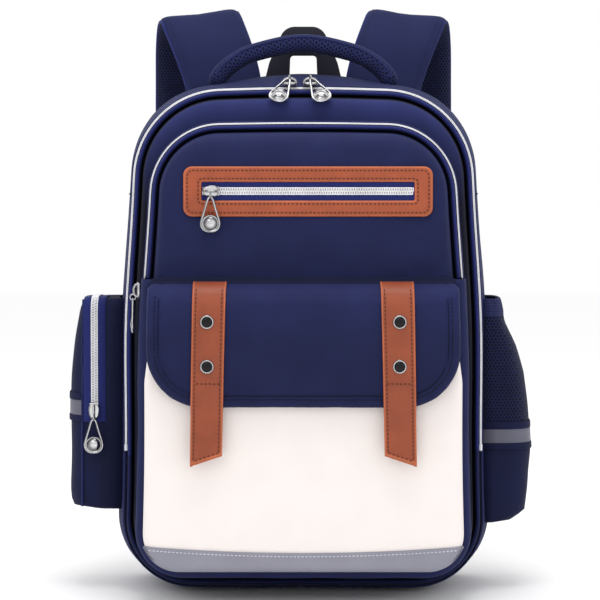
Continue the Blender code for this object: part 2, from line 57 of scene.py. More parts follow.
# ================================================================ driving dimensions
# The face outlines and depth stations of the CAD, the edge of the main zip drawn in a little.
Face = namedtuple("Face", "half_low half_high bottom top r_low r_top crown")
LOW_STATION, HIGH_STATION = 60.0, 340.0

REAR = Face(154.5, 142, 0, 435, 58, 70, 24)
BELLY = Face(156, 144.3, 0, 433, 58, 72, 22)
ZIP_EDGE = Face(149.3, 140.6, 4.5, 419, 57, 74, 4)
FRONT_ZIP = Face(134.5, 123.6, 21, 388.5, 37, 57, 2)
POCKET = Face(128.3, 119.5, 28, 300, 30, 20, 0)
FLAP = Face(124.5, 119, 161, 257.5, 44, 3, 0)
SWELLING, SWELL_HEIGHT, SWELL_REACH = 0.026, 225.0, 80.0

SEAM_Y, BELLY_Y, MOUTH_Y = 71.7, 30.0, -24.0
ZIP_END = 122.0
COVER_LINE = 262.0
POCKET_MOUTH = 232.0
SNAP_X, SNAP_Z = 76.0, 194
DOOR_BEND = ((0, -97.3, 96), (0, -97.3, 130))      # where the front folds down, low and high end
FLAP_BEND = ((0, -90, 263), (0, -102, 250))


# ================================================================ materials

class Shader:
    """A Principled material with small helpers to wire procedural detail into it."""

    def __init__(self, name, roughness, metallic=0.0, **sockets):
        self.material = bpy.data.materials.new(name)
        self.material.use_nodes = True
        self.tree = self.material.node_tree
        self.shader = self.tree.nodes["Principled BSDF"]
        for key, value in dict(sockets, Roughness=roughness, Metallic=metallic).items():
            self.shader.inputs[key.replace("_", " ")].default_value = value

    def node(self, kind, inputs=None, **settings):
        node = self.tree.nodes.new(kind)
        for key, value in settings.items():
            setattr(node, key, value)
        for key, value in (inputs or {}).items():
            if isinstance(value, bpy.types.NodeSocket):
                self.tree.links.new(value, node.inputs[key])
            else:
                node.inputs[key].default_value = value
        return node

    def math(self, operation, a, b=0.0, c=0.5, clamp=False):
        return self.node("ShaderNodeMath", {0: a, 1: b, 2: c}, operation=operation, use_clamp=clamp).outputs[0]

    def add(self, a, b):
        return self.math("ADD", a, b)

    def less(self, a, b):
        return self.math("SUBTRACT", a, b)

    def times(self, a, b):
        return self.math("MULTIPLY", a, b)

    def split(self, which):
        """X, Y and Z of a texture coordinate."""
        return self.node("ShaderNodeSeparateXYZ", {0: self.node("ShaderNodeTexCoord").outputs[which]}).outputs

    def uv(self):
        """U and V in metres on the cloth."""
        return self.split("UV")[:2]

    def noise(self, scale, detail=3.0, distortion=0.0):
        spot = self.node("ShaderNodeTexCoord").outputs["Object"]
        inputs = {"Vector": spot, "Scale": scale, "Detail": detail, "Distortion": distortion}
        return self.node("ShaderNodeTexNoise", inputs).outputs["Fac"]

    def tones(self, factor, rgb, low, high, start=0.3, end=0.7):
        """One colour, darker and lighter with the factor."""
        return self.steps(factor, [(start, shade(rgb, low)), (end, shade(rgb, high))])

    def steps(self, factor, stops):
        """Colour ramp through (position, colour) stops."""
        ramp = self.node("ShaderNodeValToRGB", {0: factor})
        for k, (position, rgb) in enumerate(stops):
            stop = ramp.color_ramp.elements[k] if k < 2 else ramp.color_ramp.elements.new(position)
            stop.position = position
            stop.color = (*rgb, 1)
        return ramp.outputs[0]

    def mix(self, factor, a, b):
        return self.node("ShaderNodeMix", {0: factor, 6: a, 7: b}, data_type="RGBA").outputs[2]

    def colour(self, socket):
        self.tree.links.new(socket, self.shader.inputs["Base Color"])

    def bump(self, height, strength, distance):
        bump = self.node("ShaderNodeBump", {"Height": height, "Strength": strength, "Distance": distance})
        self.tree.links.new(bump.outputs[0], self.shader.inputs["Normal"])

    def wave(self, coordinate, pitch):
        """Sine of a coordinate in metres, 0 to 1, with a period of pitch millimetres."""
        return self.math("MULTIPLY_ADD", self.math("SINE", self.times(coordinate, TAU / (pitch * MM))), 0.5)


def shade(rgb, factor):
    return tuple(min(channel * factor, 1.0) for channel in rgb)


def woven(name, rgb, pitch=0.9, roughness=0.75, sheen=0.04, variation=0.1, tint=(1, 1, 1), above=None):
    """Plain-woven cloth: over-under threads in the bump and colour, with a soft mottle.

    above = (low, high, rgb) paints light from overhead: the cloth turns to another tone between two heights in
    metres.
    """
    cloth = Shader(name, roughness, Sheen_Weight=sheen, Sheen_Roughness=0.4, Sheen_Tint=(*tint, 1),
                   Specular_IOR_Level=0.14)
    warp, weft = (cloth.math("SINE", cloth.times(c, TAU / (pitch * MM))) for c in cloth.uv())
    thread = cloth.math("MULTIPLY_ADD", cloth.times(warp, weft), 0.5)
    mottle = cloth.noise(38.0, 4.0)
    base = cloth.tones(mottle, rgb, 1 - variation, 1 + variation)
    if above:
        low, high, other = above
        rise = cloth.math("DIVIDE", cloth.less(cloth.split("Object")[2], low), high - low, clamp=True)
        base = cloth.mix(rise, base, cloth.tones(mottle, other, 1 - variation, 1 + variation))
    cloth.colour(cloth.mix(cloth.times(thread, 0.22), base, (*shade(rgb, 0.55), 1)))
    cloth.bump(thread, 0.5, 0.12 * MM)
    return cloth.material


def perforated(name, rgb, pitch, hole=0.3):
    """Knitted spacer mesh: staggered rows of small dark holes."""
    cloth = Shader(name, 0.85, Sheen_Weight=0.04, Specular_IOR_Level=0.14)
    u, v = cloth.uv()
    up = cloth.math("DIVIDE", v, pitch * 0.866 * MM)
    shifted = cloth.add(cloth.math("DIVIDE", u, pitch * MM), cloth.times(cloth.math("FLOOR", up), 0.5))
    x = cloth.less(cloth.math("FRACT", shifted), 0.5)
    y = cloth.times(cloth.less(cloth.math("FRACT", up), 0.5), 0.8)
    radius = cloth.math("SQRT", cloth.add(cloth.times(x, x), cloth.times(y, y)))
    edge = cloth.math("DIVIDE", cloth.less(radius, hole * 0.75), hole * 0.5, clamp=True)
    solid = cloth.tones(cloth.noise(60.0, 3.0), rgb, 0.85, 1.15)
    cloth.colour(cloth.mix(edge, (*shade(rgb, 0.12), 1), solid))
    cloth.bump(cloth.add(edge, cloth.times(cloth.wave(cloth.add(u, v), 0.8), 0.12)), 0.8, 0.7 * MM)
    return cloth.material


def ribbed(name, rgb, pitch, depth=0.3):
    """Webbing or zip tape: ribs across its length, with a fine herringbone."""
    cloth = Shader(name, 0.7, Sheen_Weight=0.04, Specular_IOR_Level=0.2)
    u, v = cloth.uv()
    slant = cloth.wave(cloth.add(cloth.math("ABSOLUTE", u), v), pitch * 0.6)
    height = cloth.add(cloth.wave(v, pitch), cloth.times(slant, 0.35))
    # The colour follows the rib height: painted shade in the hollows, lighter on the crests.
    cloth.colour(cloth.tones(height, rgb, 0.6, 1.2, 0.0, 1.2))
    cloth.bump(height, 0.5, depth * MM)
    return cloth.material


def leather(name, rgb, grain=900.0):
    """Smooth coated leather with a fine pebble grain."""
    skin = Shader(name, 0.5, Coat_Weight=0.04, Coat_Roughness=0.35, Specular_IOR_Level=0.3)
    place = skin.node("ShaderNodeTexCoord").outputs["Object"]
    cells = skin.node("ShaderNodeTexVoronoi", {"Vector": place, "Scale": grain}).outputs["Distance"]
    skin.colour(skin.tones(skin.noise(55.0, 5.0, 0.4), rgb, 0.88, 1.1))
    skin.bump(skin.add(cells, skin.times(skin.noise(600.0, 4.0), 0.8)), 0.35, 0.0002)
    return skin.material


def metal(name, rgb):
    """Plated metal with painted reflections: the dark and bright bands of a studio round it, painted into the colour
    by the facing angle.
    """
    body = Shader(name, 0.14, 1.0)
    facing_ratio = body.node("ShaderNodeLayerWeight", {"Blend": 0.5}).outputs["Facing"]
    reflection_bands = ((0.0, 0.75), (0.1, 0.28), (0.24, 0.1), (0.36, 1), (0.5, 0.16), (0.66, 0.55), (1.0, 0.2))
    waver = body.math("MULTIPLY_ADD", body.noise(220.0, 2.0), 0.12, -0.06)
    body.colour(body.steps(body.add(facing_ratio, waver), [(at, shade(rgb, tone)) for at, tone in reflection_bands]))
    body.bump(body.noise(260.0, 3.0), 0.08, 0.0002)
    return body.material


def plastic(name, rgb, roughness=0.35):
    body = Shader(name, roughness, Specular_IOR_Level=0.25)
    body.colour(body.tones(body.noise(80.0, 2.0), rgb, 0.9, 1.05))
    body.bump(body.noise(500.0, 2.0), 0.06, 0.0003)
    return body.material


NAVY_RGB = (0.0120, 0.0156, 0.065)
CREAM_RGB = (0.86, 0.80, 0.77)
LEATHER_RGB = (0.33, 0.071, 0.027)
SHEEN_TINT = (0.3, 0.38, 1.0)


def navy(factor):
    return shade(NAVY_RGB, factor)


MAT = {
    "navy": woven("navy_nylon", NAVY_RGB, tint=SHEEN_TINT),
    "navy_trim": woven("navy_trim", navy(1.3), pitch=0.7, tint=SHEEN_TINT),
    # Navy at half strength: painted shade, for the gap above the flap and the left pocket's front.
    "painted_shade": woven("navy_painted_shade", navy(0.5), sheen=0.0),
    # Near-black navy: painted shade down in the grooves beside the zips.
    "groove_shade": woven("navy_painted_groove_shade", navy(0.12), sheen=0.0),
    # The door's edge band: navy painted dark as shade low on the sides, turning to a painted highlight along the top.
    "band_shade_and_top_light": woven("navy_band_shade_and_top_light", navy(0.2), sheen=0.0, above=(0.32, 0.4, navy(1.9))),
    # Door navy with a painted highlight along its top, as from overhead light.
    "door": woven("navy_door_painted_top_light", NAVY_RGB, tint=SHEEN_TINT, above=(0.34, 0.41, navy(2.1))),
    # Cover navy darkened as painted shade, lighter towards its top as painted overhead light.
    "cover": woven("navy_cover_painted_light", navy(0.88), tint=SHEEN_TINT,
                   above=(0.29, 0.38, navy(1.14))),
    # Flap navy darkened as painted shade, with a painted highlight on its top roll.
    "flap": woven("navy_flap_painted_light", navy(0.82), tint=SHEEN_TINT,
                  above=(0.215, 0.254, navy(1.25))),
    # Navy darkened for the side pockets and their bindings: painted shade.
    "navy_side_painted_shade": woven("navy_side_painted_shade", navy(0.62), sheen=0.0),
    "lining": woven("lining", (0.05, 0.052, 0.06), pitch=0.6),
    "mesh": perforated("spacer_mesh", navy(1.5), pitch=2.9),
    # Mesh darkened as painted shade, on the bottle pocket and the shoulder pads' inner faces.
    "painted_shade_mesh": perforated("mesh_painted_shade", navy(0.8), pitch=2.9),
    "cuff": ribbed("elastic_cuff", navy(1.1), pitch=2.2),
    "air_mesh": perforated("air_mesh", navy(0.9), pitch=4.2, hole=0.26),
    "blue_tape": ribbed("blue_tape", (0.010, 0.016, 0.115), pitch=0.9, depth=0.15),
    "webbing": ribbed("black_webbing", (0.012, 0.012, 0.022), pitch=1.8),
    "cream": woven("cream_canvas", CREAM_RGB, pitch=0.8, variation=0.015),
    "reflective": woven("reflective", (0.27, 0.268, 0.32), pitch=0.5, roughness=0.38, sheen=0.0, variation=0.05),
    # The side pockets' reflector, darker than the front band: painted shade.
    "reflector": woven("side_reflector_painted_shade", (0.125, 0.126, 0.165), pitch=0.5, roughness=0.38, sheen=0.0, variation=0.05),
    "grey_thread": plastic("grey_thread", (0.60, 0.60, 0.66), 0.6),
    # Thread near black; the flap's seam line drawn in it also stands for the shade in that crease.
    "navy_thread": plastic("navy_thread", navy(0.15), 0.8),
    "brown_thread": plastic("brown_thread", (0.12, 0.03, 0.012), 0.6),
    "leather": leather("leather", LEATHER_RGB),
    # The leather darkened for the straps: painted shade.
    "strap_leather": leather("strap_leather", shade(LEATHER_RGB, 0.79)),
    "leather_edge": leather("leather_edge", (0.43, 0.11, 0.042), 1500.0),
    "coil": plastic("zip_coil", (0.78, 0.78, 0.80), 0.32),
    "chrome": metal("chrome", (0.86, 0.86, 0.88)),
    "enamel": plastic("black_enamel", (0.002, 0.002, 0.003), 0.22),
    "buckle": plastic("buckle", (0.012, 0.012, 0.014), 0.38),
}
# paint slot of each material
SLOT = dict.fromkeys(MAT, "navy_fabric")
for slot_name, keys in (("spacer_mesh", ("mesh", "painted_shade_mesh", "air_mesh", "cuff")),
                        ("reflective_fabric", ("reflective", "reflector", "grey_thread")),
                        ("leather", ("leather", "strap_leather", "leather_edge", "brown_thread"))):
    SLOT.update(dict.fromkeys(keys, slot_name))
SLOT.update(blue_tape="blue_tape", webbing="black_webbing", cream="cream_fabric", coil="zip_coil",
            chrome="bright_metal", enamel="black_enamel", buckle="black_plastic")


# ================================================================ mesh helpers

PIECES = {}      # every mesh made here, by the name it was asked for


def box_uvs(verts, faces):
    """Cloth coordinates in metres, taken along the two axes each face lies closest to."""
    uvs = []
    for face in faces:
        a, b, c = (Vector(verts[face[k]]) for k in (0, 1, len(face) // 2 + 1 if len(face) > 4 else 2))
        normal = [abs(value) for value in (b - a).cross(c - a)]
        skip = normal.index(max(normal))
        i, j = [(1, 2), (0, 2), (0, 1)][skip]
        uvs.append([(verts[index][i] * MM, verts[index][j] * MM) for index in face])
    return uvs


def linked(name, data):
    obj = bpy.data.objects.new(name, data)
    bpy.context.collection.objects.link(obj)
    return obj


def new_object(name, verts, faces, materials, picks=None, uvs=None):
    """Mesh from points in millimetres."""
    mesh = bpy.data.meshes.new(name)
    mesh.from_pydata([tuple(c * MM for c in point) for point in verts], [], faces)
    layer = mesh.uv_layers.new(name="cloth")
    uvs = uvs or box_uvs(verts, faces)
    layer.data.foreach_set("uv", [value for face in uvs for corner in face for value in corner])
    for key in materials:
        mesh.materials.append(MAT[key])
    if picks:
        mesh.polygons.foreach_set("material_index", picks)
    mesh.polygons.foreach_set("use_smooth", [True] * len(mesh.polygons))
    PIECES[name] = linked(name, mesh)
    return PIECES[name]


def tidy_normals(obj):
    bm = bmesh.new()
    bm.from_mesh(obj.data)
    bmesh.ops.remove_doubles(bm, verts=bm.verts, dist=0.001 * MM)
    bmesh.ops.recalc_face_normals(bm, faces=bm.faces)
    for edge in bm.edges:
        edge.smooth = edge.calc_face_angle(0) < SHARP
    bm.to_mesh(obj.data)
    bm.free()
    return obj


def bake(obj):
    """Turn the modifiers into mesh."""
    if obj.modifiers:
        bpy.context.view_layer.update()
        solid = obj.evaluated_get(bpy.context.evaluated_depsgraph_get())
        mesh = bpy.data.meshes.new_from_object(solid)
        obj.modifiers.clear()
        obj.data = mesh
    return obj


def place(obj, body, slot, nodes=()):
    """Give a finished piece its body and hide the CAD nodes it stands for; a piece between two bodies is only baked
    where it is. slot is not used.
    """
    bake(obj)
    if isinstance(body, str):
        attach(obj, body)
    else:
        first, second, (start, end) = body
        tuple(c * MM for c in start)
        tuple(c * MM for c in end)
        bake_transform(obj)
    if nodes:
        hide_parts(*nodes)
    return obj


FOLDS = ("shell", "front_door", DOOR_BEND)
LIFTS = ("front_door", "flap", FLAP_BEND)


def along(points, scale=MM):
    """Distance along a polyline at each point, in metres."""
    total = [0.0]
    for a, b in zip(points, points[1:]):
        total.append(total[-1] + math.dist(a, b) * scale)
    return total


def grid(name, rows, materials, closed_u=False, closed_v=False, caps=(), pick=None, keep=None, cloth=False):
    """Quads through rows of points. caps names the rows closed with one face, pick(row, column) chooses
    a material, keep(centre) drops quads, cloth lays the UVs along the rows instead of along the axes."""
    count, height = len(rows[0]), len(rows)
    verts = [tuple(p) for row in rows for p in row]
    if cloth:
        across = along(rows[height // 2] + rows[height // 2][:1])
        middle = sum(across[:-1]) / count
        down = along([row[0] for row in rows] + [rows[0][0]])
    faces, uvs, picks = [], [], []
    for j in range(height if closed_v else height - 1):
        k = (j + 1) % height
        for i in range(count if closed_u else count - 1):
            n = (i + 1) % count
            face = (j * count + i, j * count + n, k * count + n, k * count + i)
            if keep and not keep(sum((Vector(verts[f]) for f in face), Vector()) / 4):
                continue
            faces.append(face)
            if cloth:
                uvs.append([(across[b] - middle, down[a])
                            for a, b in ((j, i), (j, i + 1), (j + 1, i + 1), (j + 1, i))])
            picks.append(pick(j, i) if pick else 0)
    shades = {0: picks[0], -1: picks[-1]}
    for j in caps:
        faces.append([j % height * count + i for i in range(count)])
        uvs.append([(0.0, 0.0)] * count)
        picks.append(shades[j])
    obj = new_object(name, verts, faces, materials, picks, uvs if cloth else None)
    return tidy_normals(obj)


def thicken(obj, thickness, offset=-1.0, inner=0):
    """Give a sheet its cloth thickness; inner shifts the material of the new side."""
    modifier = obj.modifiers.new("cloth", "SOLIDIFY")
    modifier.thickness = thickness * MM
    modifier.offset = offset
    modifier.material_offset = inner
    modifier.material_offset_rim = 0
    modifier.use_quality_normals = True
    return obj


def facing(obj, direction):
    """Make an open sheet's normals face one way on the whole."""
    if sum(Vector(direction).dot(p.normal) * p.area for p in obj.data.polygons) < 0:
        obj.data.flip_normals()
    return obj


def sheet(name, rows, materials, body, nodes, thick, out=FRONT, inner=0, **options):
    """A grid with the thickness of its cloth. It looks towards out, or away from the bag's middle if None."""
    obj = grid(name, rows, materials, **options)
    obj = facing(obj, out) if out else outside(obj)
    return place(thicken(obj, thick, inner=inner), body, materials[0], nodes)


def ripple(point, size, amount, seed=0.0):
    """Smooth random offset in millimetres, about size millimetres from crest to crest."""
    return amount * noise.noise(Vector((point[0] / size + seed, point[1] / size, point[2] / size)))


# ================================================================ outlines and curves

def straight_half(face, z):
    slope = (face.half_high - face.half_low) / (HIGH_STATION - LOW_STATION)
    return face.half_low + slope * (z - LOW_STATION)


def swell_at(z):
    return 1 + SWELLING * math.exp(-((z - SWELL_HEIGHT) / SWELL_REACH) ** 2)


def half_width(face, z):
    return straight_half(face, z) * swell_at(z)


def clamp(value):
    return min(max(value, 0), 1)


def lerp(a, b, t):
    return tuple(p + (q - p) * t for p, q in zip(a, b))


def between(a, b, count=14):
    return [lerp(a, b, (k + 1) / (count + 1)) for k in range(count)]


def spread(half, count, curve):
    """Positions from -half to half, closer together towards the two ends."""
    steps = [-1 + 2 * i / count for i in range(count + 1)]
    return [half * (math.sin(t * math.pi / 2) * curve + t * (1 - curve)) for t in steps]


def inset(face, side, top=None, bottom=None):
    top = side if top is None else top
    bottom = side if bottom is None else bottom
    return face._replace(
        half_low=face.half_low - side, half_high=face.half_high - side,
        bottom=face.bottom + bottom, top=face.top - top,
        r_low=max(face.r_low - side, 2), r_top=max(face.r_top - side, 2))


def mix_faces(a, b, t):
    return Face(*(p * (1 - t) + q * t for p, q in zip(a, b)))


def fillet(corners, segments):
    """Polygon points with each (x, z, radius) corner turned into an arc."""
    points = []
    count = len(corners)
    for i, (x, z, radius) in enumerate(corners):
        here = Vector((x, z))
        before = (Vector(corners[i - 1][:2]) - here).normalized()
        after = (Vector(corners[(i + 1) % count][:2]) - here).normalized()
        half = before.angle(after) / 2
        if radius <= 0:
            points.append((x, z))
            continue
        centre = here + (before + after).normalized() * radius / math.sin(half)
        start = here + before * radius / math.tan(half) - centre
        end = here + after * radius / math.tan(half) - centre
        turn = start.angle_signed(end)
        first = math.atan2(start.y, start.x)
        for k in range(segments + 1):
            angle = first - turn * k / segments
            points.append((centre.x + radius * math.cos(angle), centre.y + radius * math.sin(angle)))
    return points


def outline(face):
    """Closed outline from the middle of the base, up the right side and over the top."""
    low = straight_half(face, face.bottom)
    crown = max(face.crown, 0.4)
    shoulder = face.top - crown
    high = straight_half(face, shoulder)
    corners = [(low, face.bottom, face.r_low), (high, shoulder, face.r_top), (0, face.top, 45 * high / crown),
               (-high, shoulder, face.r_top), (-low, face.bottom, face.r_low)]
    points = fillet(corners, CORNER_STEPS)
    n = CORNER_STEPS + 1
    right, left = between(points[n - 1], points[n]), between(points[-n - 1], points[-n])
    points = [(0, face.bottom)] + points[:n] + right + points[n:-n] + left + points[-n:]
    return [(x * swell_at(z), z) for x, z in points]


def spots(face, count, low=None, high=None):
    """Even positions round an outline as (index, fraction), good for every face of the same kind.
    low keeps the arch above a height, high the trough below one."""
    points = outline(face)
    points.append(points[0])
    lengths = along(points, 1)
    total = lengths[-1]

    def crossing(level):
        for i, (a, b) in enumerate(zip(points, points[1:])):
            if a[1] <= level <= b[1] and b[0] > 0:
                return lengths[i] + (lengths[i + 1] - lengths[i]) * (level - a[1]) / (b[1] - a[1])

    if low is not None:
        start = crossing(low)
        goals = [start + (total - 2 * start) * k / (count - 1) for k in range(count)]
    elif high is not None:
        start = crossing(high)
        goals = [(total - start + 2 * start * k / (count - 1)) % total for k in range(count)]
    else:
        goals = [total * k / count for k in range(count)]
    found = []
    for goal in goals:
        i = next(i for i in range(len(lengths) - 1) if lengths[i + 1] >= goal)
        found.append((i, (goal - lengths[i]) / (lengths[i + 1] - lengths[i])))
    return found


def ring(face, places, y, floor=None):
    """Outline points at one depth. floor sets the height of the two ends of an arch."""
    points = outline(face)
    line = []
    for i, t in places:
        x, z = lerp(points[i], points[(i + 1) % len(points)], t)
        line.append((x, y, z))
    if floor is not None:
        for end in (0, -1):
            line[end] = (line[end][0], y, floor)
    return line


def pull_in(value, low, high, t):
    nearest = min(max(value, low), high)
    return nearest + (value - nearest) * t


def shrunk(row, t, core, y):
    """Ring drawn in towards a rectangle (half width, low, high) in the middle of the face."""
    half, low, high = core
    return [(pull_in(x, -half, half, t), y, pull_in(z, low, high, t)) for x, _, z in row]


class Edge:
    """Distance from a point of the face to its outline."""

    def __init__(self, face):
        line = resample(outline(face), 1600, True)
        self.tree = kdtree.KDTree(len(line))
        for i, (x, z) in enumerate(line):
            self.tree.insert((x, z, 0), i)
        self.tree.balance()

    def distance(self, x, z):
        return self.tree.find((x, z, 0))[2]


def span(face, z):
    """Half width of an outline at a height, rounded corners included."""
    points = [p for p in outline(face) if p[0] >= 0]
    for a, b in zip(points, points[1:]):
        if min(a[1], b[1]) <= z <= max(a[1], b[1]) and a[1] != b[1]:
            return a[0] + (b[0] - a[0]) * (z - a[1]) / (b[1] - a[1])
    return 0.0


def rounded(distance, radius):
    """0 at an edge, 1 inside, as a quarter circle."""
    t = 1 - clamp(distance / radius)
    return math.sqrt(1 - t * t)


def resample(points, count, closed=False, values=None):
    """Even steps along a polyline, or the values at its points carried to those steps."""
    line = list(points) + ([points[0]] if closed else [])
    values = values or line
    lengths = along(line, 1)
    result, index = [], 0
    for k in range(count):
        goal = lengths[-1] * k / (count if closed else count - 1)
        while index < len(line) - 2 and lengths[index + 1] < goal:
            index += 1
        gap = lengths[index + 1] - lengths[index]
        t = (goal - lengths[index]) / gap if gap else 0
        result.append(lerp(values[index], values[index + 1], t))
    return result


def smooth_path(points, steps):
    """Catmull-Rom curve through the points."""
    pts = [Vector(p) for p in points]
    pts = [2 * pts[0] - pts[1]] + pts + [2 * pts[-1] - pts[-2]]
    path = []
    for a, b, c, d in zip(pts, pts[1:], pts[2:], pts[3:]):
        for k in range(steps):
            t = k / steps
            path.append(0.5 * (2 * b + (c - a) * t + (2 * a - 5 * b + 4 * c - d) * t * t
                               + (3 * b - a - 3 * c + d) * t ** 3))
    path.append(pts[-2])
    return path


def frames(path, up, closed=False):
    """(point, tangent, side, normal) along a path; up is a direction or a list of them."""
    pts = [Vector(p) for p in path]
    last = len(pts) - 1
    result = []
    for i, point in enumerate(pts):
        if closed:
            tangent = (pts[(i + 1) % len(pts)] - pts[i - 1]).normalized()
        else:
            tangent = (pts[min(i + 1, last)] - pts[max(i - 1, 0)]).normalized()
        lift = Vector(up[i] if isinstance(up, list) else up)
        normal = (lift - tangent * lift.dot(tangent)).normalized()
        result.append((point, tangent, tangent.cross(normal), normal))
    return result


def swept(name, path, section, materials, up=FRONT, closed=False, pick=None):
    """Closed section of (side, normal) points carried along a path; section may depend on the fraction."""
    rows = []
    last = max(len(path) - 1, 1)
    for i, (point, _, side, normal) in enumerate(frames(path, up, closed)):
        shape = section(i / last) if callable(section) else section
        rows.append([tuple(point + side * a + normal * b) for a, b in shape])
    return grid(name, rows, materials, closed_u=True, closed_v=closed, caps=() if closed else (0, -1), pick=pick,
                cloth=True)


def circle(radius, sides=10):
    return [(radius * math.cos(TAU * k / sides), radius * math.sin(TAU * k / sides)) for k in range(sides)]


def pad_section(width, thick, sides, power):
    """Soft rectangle: full in the middle, rounded at the two edges."""
    shape = []
    for k in range(sides):
        c, s = math.cos(TAU * k / sides), math.sin(TAU * k / sides)
        shape.append((width / 2 * math.copysign(abs(c) ** power, c), thick / 2 * math.copysign(abs(s) ** 0.8, s)))
    return shape


def tube(name, path, radius, material, up=FRONT, closed=False, sides=10):
    return swept(name, path, circle(radius, sides), [material], up, closed)


def trim(name, path, radius, material, body, up=FRONT, closed=False):
    """A tube put straight on its body."""
    return place(tube(name, path, radius, material, up, closed), body, material)


def capsules(name, segments, material):
    """Many short round-ended rods in one mesh; each segment is (start, end, radius, up)."""
    verts, faces, sides = [], [], 6
    for start, end, radius, up in segments:
        a, b = Vector(start), Vector(end)
        axis = (b - a).normalized()
        normal = (up - axis * up.dot(axis)).normalized()
        side = axis.cross(normal)
        first = len(verts)
        for centre, r in ((a, 0.5), (a + axis * radius * 0.7, 1), (b - axis * radius * 0.7, 1), (b, 0.5)):
            for k in range(sides):
                angle = TAU * k / sides
                verts.append(tuple(centre + (side * math.cos(angle) + normal * math.sin(angle)) * radius * r))
        for j in range(3):
            for k in range(sides):
                n = (k + 1) % sides
                base, above = first + j * sides, first + (j + 1) * sides
                faces.append((base + k, base + n, above + n, above + k))
        faces.append(tuple(first + k for k in reversed(range(sides))))
        faces.append(tuple(first + 3 * sides + k for k in range(sides)))
    return new_object(name, verts, faces, [material])


def stitches(name, path, material, body, pitch=3.3, length=1.9, radius=0.42, up=FRONT, lift=0.12,
             closed=False):
    """Row of stitches lying on the surface along a path."""
    line = [tuple(p) for p in path] + ([tuple(path[0])] if closed else [])
    count = max(int(along(line, 1)[-1] / pitch), 2)
    fine = resample(line, count * 8 + 1)
    reach = int(round(8 * length / pitch))
    up = Vector(up).normalized()
    segments = []
    for k in range(count):
        a, b = Vector(fine[k * 8]), Vector(fine[k * 8 + reach])
        segments.append((a + up * lift, b + up * lift, radius, up))
    return place(capsules(name, segments, material), body, material)


def zip_row(name, path, up, reach, body, pitch=1.35, radius=0.5, phase=0.0, nodes=()):
    """Half of a zip chain: loops that reach from the path towards the other half, on a woven core."""
    line = [tuple(p) for p in path]
    count = int(along(line, 1)[-1] / pitch)
    ups = [tuple(u) for u in (up if isinstance(up, list) else [up] * len(line))]
    fine, lifts = resample(line, count * 2), resample(line, count * 2, values=ups)
    segments = []
    for point, tangent, side, normal in frames(fine, lifts)[::2]:
        root = point + tangent * pitch * phase
        segments.append((root - side * reach * 0.1, root + side * reach, radius, normal))
    core = tube(name + "_core", fine[::2], radius * 0.9, "coil", lifts[::2], sides=6)
    return place(join(capsules(name, segments, "coil"), core), body, "coil", nodes)


def zip_halves(tag, face, count, reach, pitch, radius, halves):
    """Both halves of a chain round a face. Each half is (part, inset, lower end, depth, body)."""
    for phase, (part, depth, low, y, body) in zip((0.0, 0.5), halves):
        line = ring(inset(face, depth), spots(face, count, low=low), y)
        leans = [side * 0.7 + normal * 0.72 for _, _, side, normal in frames(line, FRONT)]
        zip_row(f"{tag}_zip_chain_{part}", line, leans, reach if phase else -reach, body, pitch, radius, phase,
                [f"{tag}_zip_{part}"])


def join(target, *others):
    """Join meshes into the first object."""
    bm = bmesh.new()
    bm.from_mesh(bake(target).data)
    for obj in others:
        known, first = len(bm.faces), len(target.data.materials)
        bm.from_mesh(bake(obj).data)
        for face in list(bm.faces)[known:]:
            face.material_index += first
        for material in obj.data.materials:
            target.data.materials.append(material)
        bpy.data.objects.remove(obj, do_unlink=True)
    bm.to_mesh(target.data)
    bm.free()
    return target


def lathe(name, centre, axis, shape, material, sides=32):
    """Turned part: (radius, height) points round an axis."""
    axis = Vector(axis).normalized()
    side = axis.orthogonal().normalized()
    other = axis.cross(side)
    turns = [(math.cos(TAU * k / sides), math.sin(TAU * k / sides)) for k in range(sides)]
    rows = [[tuple(Vector(centre) + axis * height + (side * c + other * s) * radius) for c, s in turns]
            for radius, height in shape]
    return grid(name, rows, [material], closed_u=True, caps=(0, -1))


# ================================================================ main body

def gusset_face(y):
    if y > BELLY_Y:
        return mix_faces(BELLY, REAR, (y - BELLY_Y) / (SEAM_Y - BELLY_Y))
    return mix_faces(BELLY, ZIP_EDGE, (BELLY_Y - y) / (BELLY_Y - MOUTH_Y))


def body_side(y, z):
    return half_width(gusset_face(y), z)


BODY_CORE = (70, 110, 330)
COVER_CORE = (70, 322, 342)
CREAM_CORE = (60, 90, 190)


def layer_rows(face, layers, places, core=BODY_CORE, floor=None):
    """Rows for (inset, y) or (inset, y, scale) layers of one face."""
    rows = []
    for layer in layers:
        depth, y, t = (*layer, 1.0)[:3]
        row = ring(inset(face, depth), places, y, floor)
        if floor is not None:
            row += between((row[-1][0], 0), (row[0][0], 0), 24)
            row[-24:] = [(x, y, floor) for x, _ in row[-24:]]
        rows.append(shrunk(row, t, core, y) if t < 1 else row)
    return rows


def crease(rows, amount, size, seed, core=BODY_CORE):
    """Shallow random waves in the cloth, towards the front or back, dying out at the flat core."""
    half, low, high = core

    def moved(x, y, z):
        beyond = math.hypot(max(abs(x) - half, 0), max(low - z, z - high, 0))
        wave = ripple((x, y, z), size, amount, seed) + ripple((x, y, z), size / 3, amount * 0.25, seed + 5)
        return x, y + wave * min(beyond / 20, 1), z

    return [[moved(*point) for point in row] for row in rows]


def swell(row, amount, size, seed):
    """Waves in a ring, away from the middle of the bag."""
    moved = []
    for x, y, z in row:
        out = Vector((x, 0, (z - 215) * 0.6)).normalized() * ripple((x, y, z), size, amount, seed)
        moved.append((x + out.x, y, max(z + out.z, 0.0)))
    return moved


def fullness(y):
    return 1.2 * math.sin(math.pi * (SEAM_Y - y) / (SEAM_Y - MOUTH_Y))


